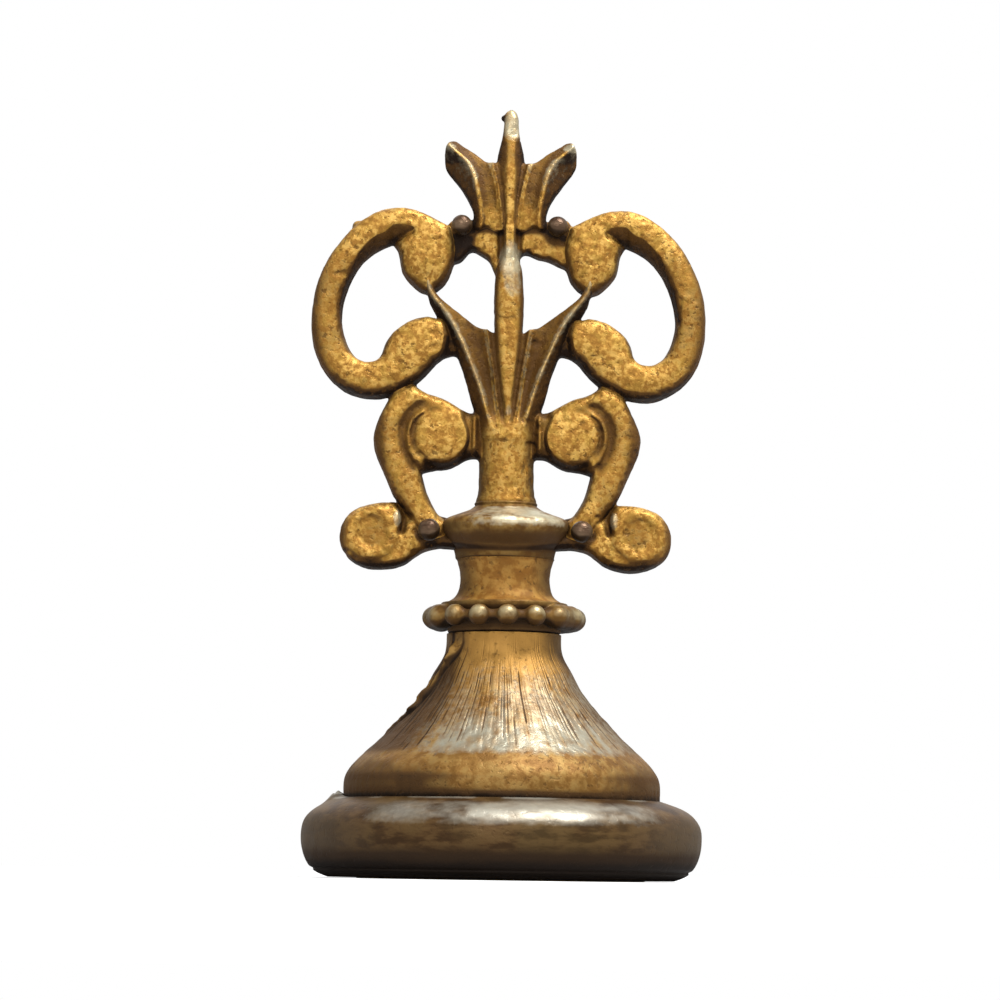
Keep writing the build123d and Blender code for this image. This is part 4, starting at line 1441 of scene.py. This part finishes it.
@dataclass
class FootVolute:
    """Curled end at the foot of the openwork: a disc with a tail that runs under the pin to the knop."""

    stretches: list[Points] = field(
        default_factory=lambda: [
            [
                (8.3, 28.3), (10.08, 28.15), (11.7, 27.5), (12.52, 25.9), (12.25, 24.5), (11.07, 23.45), (9.1, 23.15),
                (7.3, 23.7), (6.3, 24.45), (4.9, 24.8),
            ],
            [(4.9, 24.8), (3.5, 24.7)],
            [(3.5, 24.7), (3.5, 26.9)],
            [(3.5, 26.9), (5.75, 27.3), (7.2, 27.0)],
            [(7.2, 27.0), (8.3, 28.3)],
        ]
    )
    slot: Points = field(default_factory=lambda: [(8.2, 28.2), (7.8, 27.6), (7.66, 26.8), (7.8, 26.0)])
    glint: Points = field(default_factory=lambda: [(8.1, 27.5), (8.08, 26.7)])

    def relief(self, x: np.ndarray, z: np.ndarray, gap: np.ndarray) -> np.ndarray:
        """A crowned disc, a short slot, a raised spot beside it, and a tail that drops towards the pin."""
        from_centre = np.hypot(x - 10.05, z - 25.9)
        disc = ease(0.9, 1.55, from_centre) - ease(1.65, 2.3, from_centre)
        half = 1.62 + 0.24 * disc - 0.6 * ease(7.4, 5.8, x) * ease(25.2, 26.4, z)
        half = half - 0.5 * bump(distance_to(x, z, spline(self.slot)), 0.27)
        return half + 0.16 * bump(distance_to(x, z, spline(self.glint)), 0.16)

    def stain(self, x: np.ndarray, z: np.ndarray) -> np.ndarray:
        """Dirt in the slot and round the pin, darker towards the knop and in the disc's centre, painted shade on the
        outer and lower edges, and a little painted light at the top.
        """
        slot = 0.3 * bump(distance_to(x, z, spline(self.slot)), 0.24)
        pin = 0.7 * (1 - ease(0.75, 1.3, np.hypot(x - 5.745, z - 25.9)))
        inner = 0.6 * ease(5.6, 4.6, x)
        centre = 0.26 * (1 - ease(0.7, 1.5, np.hypot(x - 9.8, z - 25.8)))
        # Painted shade on the outer and lower edges; the top a little lighter as painted light
        rim = 0.5 * np.maximum(ease(11.7, 12.4, x), ease(24.1, 23.4, z)) - 0.15 * ease(27, 28, z)
        return slot + np.maximum(pin, inner) + centre + rim

    def form(self, side: Side) -> Plate:
        """The volute as a plate."""
        return Plate(self.stretches, self.relief, 0.6, 0.1, self.stain, side=side)


@dataclass
class Crossbar:
    """Bar let in behind the buds' tips, with an uneven arched underside and a narrow rib up its middle."""

    right: Points = field(
        default_factory=lambda: [
            (2.6, 49.62), (3.6, 50.05), (4.55, 49.7), (4.75, 48.6), (4.7, 46.2), (3.9, 46.35), (3.08, 46.75),
            (1.97, 47.05), (1.14, 47.3), (0.6, 46.6),
        ]
    )
    left: Points = field(
        default_factory=lambda: [
            (-0.6, 45.6), (-1.15, 45.9), (-1.5, 46.65), (-2.19, 47.2), (-2.88, 47.45), (-3.4, 47.0), (-4.07, 46.6),
            (-4.7, 46.9), (-4.8, 48.2), (-4.55, 49.7), (-3.6, 50.05), (-2.6, 49.62),
        ]
    )

    def relief(self, x: np.ndarray, z: np.ndarray, gap: np.ndarray) -> np.ndarray:
        """A thin bar with the rib, sunk in a line each side of the rib."""
        off = np.abs(x - 0.02)
        rib = (1 - ease(0.28, 0.55, off)) * ease(46.4, 47.0, z)
        return 1.05 + 0.72 * rib - 0.2 * bump(off - 0.72, 0.2)

    def stain(self, x: np.ndarray, z: np.ndarray) -> np.ndarray:
        """Dirt beside the rib and round the pins, a painted shadow under the leaves, and painted shade on the block
        under the left pin.
        """
        out = np.abs(x)
        beside = bump(out - 0.72, 0.22)
        # Painted shadow under the leaves' bases
        under = bump(z - 49.05 + 0.12 * np.square(out - 1.9), 0.26)
        pin = 1 - ease(0.7, 1.4, np.hypot(out - 3.63, z - 48.85))
        # Painted shade on the block under the left pin
        block = 1.0 * ease(-2.4, -3.0, x) * ease(48.7, 48.2, z)
        return (0.05 + 0.35 * beside + 0.65 * under + 0.5 * pin + block) * (out > 0.4)

    def form(self) -> Plate:
        """The bar as a plate."""
        stretches = [
            [(-2.6, 49.62), (2.6, 49.62)],
            self.right,
            [(0.6, 46.6), (0.0, 46.0), (-0.6, 45.6)],
            self.left,
        ]
        return Plate(stretches, self.relief, 0.4, 0.06, self.stain)


@dataclass
class Leaf:
    """A leaf with a ridge, a rib beside it, and hollows between: its half depth follows lines up Z."""

    edges: list[Points]
    ridge: Points
    rib: Points
    crests: Points
    flute: float
    groove: float
    fall: float
    start: tuple[float, float]
    dirt: tuple[float, float, float]
    dirt_from: tuple[float, float]
    clean_share: float
    bright: Points
    outer_shine: float
    edge: float = 0.22

    def along(self, line: Points, z: np.ndarray) -> np.ndarray:
        """The first coordinate of a line at each height."""
        fine = spline(line)
        order = np.argsort(fine[:, 1])
        return np.interp(z, fine[order, 1], fine[order, 0])

    def relief(self, x: np.ndarray, z: np.ndarray, gap: np.ndarray) -> np.ndarray:
        """Groove between bud and rib, broad hollow between rib and ridge, and a steep fall outside the ridge."""
        ridge, rib = (self.along(line, z) for line in (self.ridge, self.rib))
        crest = self.along([(value, height) for height, value in self.crests], z)
        wide = np.maximum(ridge - rib, 0.25)
        grow = ease(*self.start, z)
        share = np.clip((x - rib + 0.2) / (wide + 0.2), 0, 1)
        broad = self.flute * np.clip(wide / 1.2, 0.3, 1) * np.sin(np.pi * share**0.85) ** 0.8
        cord = self.groove * (1 - 0.9 * bump(x - rib, 0.25)) * ease(0.75, 0.1, share)
        half = crest - np.maximum(broad, cord) * grow
        half = np.where(x > ridge, crest - self.fall * grow * np.maximum(x - ridge - 0.05, 0), half)
        if self.start[0] < 40:
            round_half = np.sqrt(np.maximum(2.12**2 - x**2, 0.02)) * 0.95
            half = round_half + (half - round_half) * grow
        return np.maximum(half, 0.3)

    def stain(self, x: np.ndarray, z: np.ndarray) -> np.ndarray:
        """Dirt in the hollows and on the outer fall, as strong as the leaf says."""
        ridge, rib = (self.along(line, z) for line in (self.ridge, self.rib))
        outer_dirt, hollow_dirt, groove_dirt = self.dirt
        share = np.clip((ridge - x) / np.maximum(ridge - rib, 0.25), 0, 1)
        outer = outer_dirt * ease(0.06, 0.3, x - ridge)
        inner = hollow_dirt * ease(0.08, 0.2, ridge - x) * ease(0.06, 0.16, x - rib)
        inner = inner * (1 - self.clean_share * ease(0.25, 0.5, share))
        inner = inner * ease(*self.dirt_from, z)
        groove = groove_dirt * ease(0.02, 0.22, rib - x)
        return (outer + inner + groove) * ease(*self.start, z)

    def shine(self, x: np.ndarray, z: np.ndarray) -> np.ndarray:
        """Bare metal along the ridge, and less of it along the rib."""
        ridge, rib = (self.along(line, z) for line in (self.ridge, self.rib))
        strength = np.interp(z, *np.array(self.bright).T) * (1 + 0.9 * lumps(np.stack([x, 0 * x, z], 1), 0.7, 71))
        lines = bump(x - ridge, 0.25) + 0.6 * bump(x - rib, 0.18)
        return np.clip(strength * (lines + self.outer_shine * ease(0.1, 0.4, x - ridge)), 0, 1)

    def form(self, side: Side) -> Plate:
        """The leaf as a plate."""
        return Plate(self.edges, self.relief, self.edge, 0.0, self.stain, self.shine, side)


def fan_leaf() -> Leaf:
    """The large leaf that fans out of the stem to the C scroll."""
    return Leaf(
        edges=[
            [(0.0, 33.0), (0.0, 37.0), (0.0, 40.5)],
            [(0.0, 40.5), (1.62, 41.43)],
            [(1.62, 41.43), (2.0, 41.5), (3.2, 42.25), (4.3, 43.0), (5.45, 44.0), (5.98, 44.75)],
            [(5.98, 44.75), (6.1, 45.1), (6.22, 45.0), (6.22, 44.6)],
            [
                (6.22, 44.6), (6.08, 43.8), (5.7, 42.9), (5.0, 41.7), (4.25, 40.3), (3.45, 38.4), (2.85, 36.3),
                (2.4, 34.6), (2.12, 33.2), (2.07, 33.0),
            ],
            [(2.07, 33.0), (0.0, 33.0)],
        ],
        ridge=[
            (0.75, 33.0), (1.0, 33.6), (1.45, 34.9), (2.0, 36.8), (2.58, 38.4), (3.2, 39.84), (4.1, 41.7),
            (5.1, 43.09), (5.95, 44.3), (6.12, 45.1),
        ],
        rib=[(0.4, 32.9), (0.5, 33.6), (0.76, 34.9), (1.1, 37.2), (1.42, 39.3), (1.7, 41.1), (1.95, 42.5)],
        crests=[(32.9, 2.0), (36.0, 1.86), (40.0, 1.75), (43.0, 1.78), (44.3, 1.98), (45.4, 2.08)],
        flute=0.72,
        groove=0.38,
        fall=1.25,
        start=(33.0, 35.2),
        dirt=(0.75, 0.46, 0.55),
        dirt_from=(30.0, 31.0),
        clean_share=0.0,
        bright=[(34.0, 0.1), (36.0, 0.35), (40.0, 0.45), (42.5, 0.65), (45.0, 0.5)],
        outer_shine=0.0,
    )


def finial_leaf() -> Leaf:
    """The short leaf each side of the centre leaf at the top."""
    return Leaf(
        edges=[
            [(0.0, 49.3), (0.0, 52.0), (0.0, 53.8)],
            [(0.0, 53.8), (1.0, 54.2), (1.75, 54.25), (2.6, 54.8), (3.5, 55.4), (4.15, 55.85)],
            [(4.15, 55.85), (4.6, 55.85), (4.95, 55.4), (5.02, 54.7)],
            [(5.02, 54.7), (4.93, 53.9), (4.5, 53.2), (3.75, 52.3), (3.1, 51.3), (2.75, 50.3), (2.8, 49.3)],
            [(2.8, 49.3), (2.55, 48.98), (1.9, 49.25), (1.1, 48.95), (0.6, 48.95), (0.0, 49.3)],
        ],
        ridge=[
            (2.2, 48.9), (2.15, 50.2), (2.42, 51.8), (2.7, 53.0), (3.25, 54.15), (4.2, 55.05), (4.8, 55.6),
        ],
        rib=[(0.68, 48.9), (0.74, 50.0), (0.92, 51.5), (1.2, 52.9), (1.5, 54.08), (1.62, 54.8)],
        crests=[(48.8, 1.66), (51.5, 1.7), (53.5, 1.52), (55.0, 1.2), (55.9, 0.95)],
        flute=0.45,
        groove=0.34,
        fall=0.8,
        start=(47.0, 48.8),
        dirt=(0.9, 0.6, 0.5),
        dirt_from=(49.4, 51.6),
        clean_share=0.3,
        bright=[(49.0, 0.0), (52.0, 0.2), (53.5, 0.5), (55.0, 0.8)],
        outer_shine=0.22,
    )


@dataclass
class Bud:
    """A long bud or leaf on the axis: half width against height, and a crest that falls away each side."""

    widths: Points
    crests: Points
    flat: float
    fall: Points
    edge: float

    def relief(self, x: np.ndarray, z: np.ndarray, gap: np.ndarray) -> np.ndarray:
        """A flat crest with a slope each side."""
        crest = np.interp(z, *np.array(self.crests).T)
        slope = np.interp(z, *np.array(self.fall).T)
        return np.maximum(crest - slope * np.maximum(np.abs(x) - self.flat, 0), 0.3)

    def stain(self, x: np.ndarray, z: np.ndarray) -> np.ndarray:
        """Painted shade on the slopes, more on the right, and towards the edges, with a dark nib by the centre leaf's
        tip and brown bands.
        """
        slope = np.interp(z, *np.array(self.fall).T)
        nib = 0.8 * ease(-0.42, -0.55, x) * bump(z - 57.75, 0.4)
        brown = 0.3 * ease(53.2, 54.6, z) * (1 - ease(56.2, 57.2, z)) + 0.14 * (z < 50)
        width = np.interp(z, *np.array(self.widths).T)
        # Painted shade towards the edges, where the bud rounds off
        side = 0.35 * ease(0.5, 0.95, np.abs(x) / width)
        # Painted shade on the slopes, stronger on the right
        slope = np.clip(slope, 0, 1) * (0.5 + 0.12 * np.sign(x))
        return slope * ease(self.flat - 0.05, self.flat + 0.35, np.abs(x)) + nib + brown + side

    def form(self) -> Plate:
        """The bud as a plate."""
        right = [(width, height) for height, width in self.widths]
        left = [(-width, height) for width, height in reversed(right)]
        return Plate([right, [right[-1], left[0]], left, [left[-1], right[0]]], self.relief, self.edge, 0.06, self.stain)


def spear_bud() -> Bud:
    """The bud between the fan leaves."""
    return Bud(
        widths=[
            (33.0, 0.18), (35.0, 0.34), (36.6, 0.54), (38.2, 0.76), (39.6, 0.94), (41.4, 1.08), (43.4, 1.14),
            (45.1, 1.1), (46.3, 0.92), (47.0, 0.62), (47.5, 0.36), (47.8, 0.2),
        ],
        crests=[(33.0, 2.02), (36.0, 1.9), (42.0, 1.95), (46.0, 1.95), (47.75, 1.7)],
        flat=0.35,
        fall=[(33.0, 0.1), (38.0, 0.15), (44.0, 0.15), (47.75, 0.5)],
        edge=0.42,
    )


def centre_leaf() -> Bud:
    """The middle leaf of the finial."""
    return Bud(
        widths=[
            (49.3, 0.42), (50.2, 0.5), (51.6, 0.62), (52.95, 0.9), (54.2, 1.07), (55.2, 0.96), (56.0, 0.76),
            (56.7, 0.62), (57.6, 0.55), (58.15, 0.44), (58.43, 0.12),
        ],
        crests=[(49.3, 1.76), (53.0, 1.8), (55.0, 1.55), (57.0, 1.1), (58.43, 0.7)],
        flat=0.24,
        fall=[(49.3, 0.9), (53.0, 1.0), (55.6, 0.95), (56.1, 0.25), (58.43, 0.3)],
        edge=0.28,
    )


def openwork(levels: "Levels") -> Casting:
    """Every form of the pierced handle, as one casting."""
    casting = Casting()
    forms = casting.forms
    forms["stem"] = Rod(
        [levels.stem_base - 0.3, levels.stem_base + 0.15, levels.stem_base + 0.5, levels.stem_base + 1.2, 33.3, 34.4],
        [2.3, 2.28, 2.16, 2.08, 2.08, 1.5],
    )
    forms["top_crossbar"] = Crossbar().form()
    forms["spear_bud"] = spear_bud().form()
    forms["finial_centre_leaf"] = centre_leaf().form()
    for side in Side:
        forms[f"{side.word}_c_scroll"] = CScroll().form(side)
        forms[f"{side.word}_s_scroll"] = SScroll().form(side)
        forms[f"{side.word}_foot_volute"] = FootVolute().form(side)
        forms[f"{side.word}_fan_leaf"] = fan_leaf().form(side)
        forms[f"finial_{side.word}_leaf"] = finial_leaf().form(side)
    return casting


@dataclass
class Pin:
    """Pin with a beaten bead at each end."""

    x: float
    z: float
    head: float
    seat: float
    shank: float = 0.45

    def shape(self, side: Side) -> Shape:
        """Meshes the pin along Y: bead, shank, bead."""
        centre = self.seat + 0.35
        rise = math.acos(-0.35 / self.head)
        turn = np.linspace(0.12, rise, 22)
        radius = self.head * np.sin(turn)
        depth = centre + self.head * np.cos(turn)
        radius = np.concatenate([radius, [self.shank, self.shank], radius[::-1]])
        depth = np.concatenate([-depth, [-self.seat, self.seat], depth[::-1]])
        angle = np.arange(48) * TURN / 48
        x = self.x * side.value + radius[:, None] * np.sin(angle)
        z = self.z + radius[:, None] * np.cos(angle)
        rings = np.stack([x, np.broadcast_to(depth[:, None], x.shape), z], -1)
        return skin(rings).roughened(95 + int(self.z) + side.value, 0.05, 0.015)


PINS = {"lower": Pin(5.745, 26.06, 0.83, 2.0), "upper": Pin(3.63, 49.24, 0.77, 1.6)}


@dataclass
class Seal:
    """The whole stamp."""

    finishes: Finishes
    levels: Levels

    def builds(self) -> list[Build]:
        """Every piece that is modelled here, from the foot up."""
        levels, finishes = self.levels, self.finishes
        made = [
            Build("foot_ring", Foot().shape(levels.ring_top), "ring", "worn_brass", finishes.worn),
            Build("bell_shell", Bell().shape(levels), "handle", "gilt_brass", finishes.bell),
            Build("bead_collar", Collar().shape(levels), "handle", "worn_brass", finishes.beads),
            Build("neck_tube", Neck().shape(levels), "handle", "gilt_brass", finishes.neck),
            Build("knop_collar", Knop().shape(levels), "handle", "worn_brass", finishes.knop),
        ]
        for node, shape in openwork(levels).pieces(61, 0.045, 0.024, 0.08).items():
            shape.marks["silver"] = np.maximum(rubbed(shape.corners), shape.marks.get("silver", 0))
            made.append(Build(node, shape, "handle", "gilt_brass", finishes.gilt))
        for side in Side:
            for level, pin in PINS.items():
                node = f"{level}_{side.word}_pin"
                made.append(Build(node, pin.shape(side), "handle", "dark_pin", finishes.pin))
        return made

    def dress(self) -> None:
        """Makes every piece, paints shade into its hollows, undersides and sideways edges, and hangs it on its body."""
        builds = self.builds()
        cavity = Cavity()
        cavity.add_turned(np.concatenate([[(12.9, 0.0)], Foot().profile(self.levels.ring_top)[::2]]))
        cavity.add_turned(Bell().outside(self.levels))
        for build in builds[2:]:
            cavity.add(build.shape)
        painted_shade = PaintedShade(cavity)
        for build in builds:
            painted_shade.mark(build.shape)
            piece = build.shape.piece(f"{build.node}_cast")
            piece.data.materials.append(build.finish)
            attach(piece, build.body)
            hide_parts(build.node)
            LOG.info("%s: %d corners", piece.name, len(build.shape.corners))

    def dress_kept(self, nodes: dict[str, bpy.types.Object]) -> None:
        """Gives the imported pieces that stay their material."""
        kept = {name: self.finishes.steel for name in ("tie_rod", "tie_nut", "tie_washer", "die_key_pin")}
        kept["seal_die"] = self.finishes.die
        for name, material in kept.items():
            nodes[name].data.materials.clear()
            nodes[name].data.materials.append(material)


@dataclass
class Studio:
    """Pale floor, white surroundings, a softbox overhead, a weak front fill and the camera."""

    eye: tuple[float, float, float] = (-0.45, -300.0, 1.0)
    pitch: float = 5.2546
    roll: float = 0.842
    lens: float = 143.483
    sensor: float = 36.0
    floor_half: float = 260.0

    def camera(self) -> None:
        """Sets the camera at the photograph's angle."""
        data = bpy.data.cameras.new("camera")
        data.lens, data.sensor_width = self.lens, self.sensor
        data.clip_start, data.clip_end = 0.01, 10
        made = bpy.data.objects.new("camera", data)
        bpy.context.scene.collection.objects.link(made)
        turn = Matrix.Rotation(math.radians(90 + self.pitch), 4, "X")
        made.matrix_world = Matrix.Translation(Vector(self.eye) * MM) @ turn @ Matrix.Rotation(
            math.radians(self.roll), 4, "Z"
        )
        bpy.context.scene.camera = made

    def lamp(self, name: str, place: tuple, aim: tuple, size: float, power: float) -> None:
        """Adds a square area lamp that faces a point; lengths are in millimetres."""
        data = bpy.data.lights.new(name, "AREA")
        data.size, data.energy = size * MM, power
        made = bpy.data.objects.new(name, data)
        bpy.context.scene.collection.objects.link(made)
        away = Vector(aim) - Vector(place)
        made.matrix_world = Matrix.Translation(Vector(place) * MM) @ away.to_track_quat("-Z", "Y").to_matrix().to_4x4()

    def floor(self) -> None:
        """A pale floor that the camera sees as white outside the shadow."""
        half = self.floor_half * MM
        mesh = bpy.data.meshes.new("floor")
        mesh.from_pydata([(-half, -half, 0), (half, -half, 0), (half, half, 0), (-half, half, 0)], [], [(0, 1, 2, 3)])
        made = bpy.data.objects.new("floor", mesh)
        bpy.context.scene.collection.objects.link(made)
        ink = Ink("floor")
        seen = ink.node("ShaderNodeLightPath", {}, {}, "Is Camera Ray")
        far = ink.node("ShaderNodeVectorMath", {"operation": "LENGTH"}, {0: ink.place()}, "Value").step(0.035, 0.12)
        grain = ink.noise(30.0)
        tint = ink.mixed(grain, (0.66, 0.66, 0.66, 1), (0.69, 0.69, 0.69, 1))
        plain = ink.node("ShaderNodeBsdfDiffuse", {}, {"Color": tint})
        glow = ink.node("ShaderNodeEmission", {}, {"Color": (1, 1, 1, 1), "Strength": seen * (0.5 + 0.4 * far)})
        both = ink.node("ShaderNodeAddShader", {}, {0: plain, 1: glow})
        out = ink.tree.nodes.new("ShaderNodeOutputMaterial")
        ink.tree.links.new(both.socket, out.inputs["Surface"])
        mesh.materials.append(ink.material)

    def world(self) -> None:
        """White to the camera and in reflections, softer as light on the object."""
        world = bpy.data.worlds.new("surroundings")
        bpy.context.scene.world = world
        world.use_nodes = True
        nodes, links = world.node_tree.nodes, world.node_tree.links
        nodes.clear()
        rays = nodes.new("ShaderNodeLightPath")
        first = nodes.new("ShaderNodeMath")
        first.operation = "MAXIMUM"
        second = nodes.new("ShaderNodeMath")
        second.operation = "MAXIMUM"
        links.new(rays.outputs["Is Camera Ray"], first.inputs[0])
        links.new(rays.outputs["Is Glossy Ray"], first.inputs[1])
        links.new(first.outputs[0], second.inputs[0])
        links.new(rays.outputs["Is Transmission Ray"], second.inputs[1])
        strength = nodes.new("ShaderNodeMapRange")
        strength.inputs["To Min"].default_value = 0.28
        strength.inputs["To Max"].default_value = 1.0
        links.new(second.outputs[0], strength.inputs["Value"])
        background = nodes.new("ShaderNodeBackground")
        background.inputs["Color"].default_value = (1, 1, 1, 1)
        links.new(strength.outputs["Result"], background.inputs["Strength"])
        out = nodes.new("ShaderNodeOutputWorld")
        links.new(background.outputs[0], out.inputs["Surface"])

    def light(self) -> None:
        """Hangs the lamps."""
        self.lamp("overhead", (100, -70, 300), (0, 0, 25), 150, 1.2)
        self.lamp("front_fill", (-40, -420, 230), (0, 0, 28), 240, 0.55)

    def build(self) -> None:
        """Sets the whole studio."""
        self.camera()
        self.floor()
        self.world()
        self.light()
        bpy.context.scene.view_settings.view_transform = "Standard"


def main() -> None:
    """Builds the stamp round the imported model."""
    logging.basicConfig(level=logging.INFO, format="%(message)s")
    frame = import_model()
    seal = Seal(Finishes.made(), Levels.read())
    seal.dress()
    seal.dress_kept(frame["nodes"])
    Studio().build()


if __name__ == "__main__":
    main()
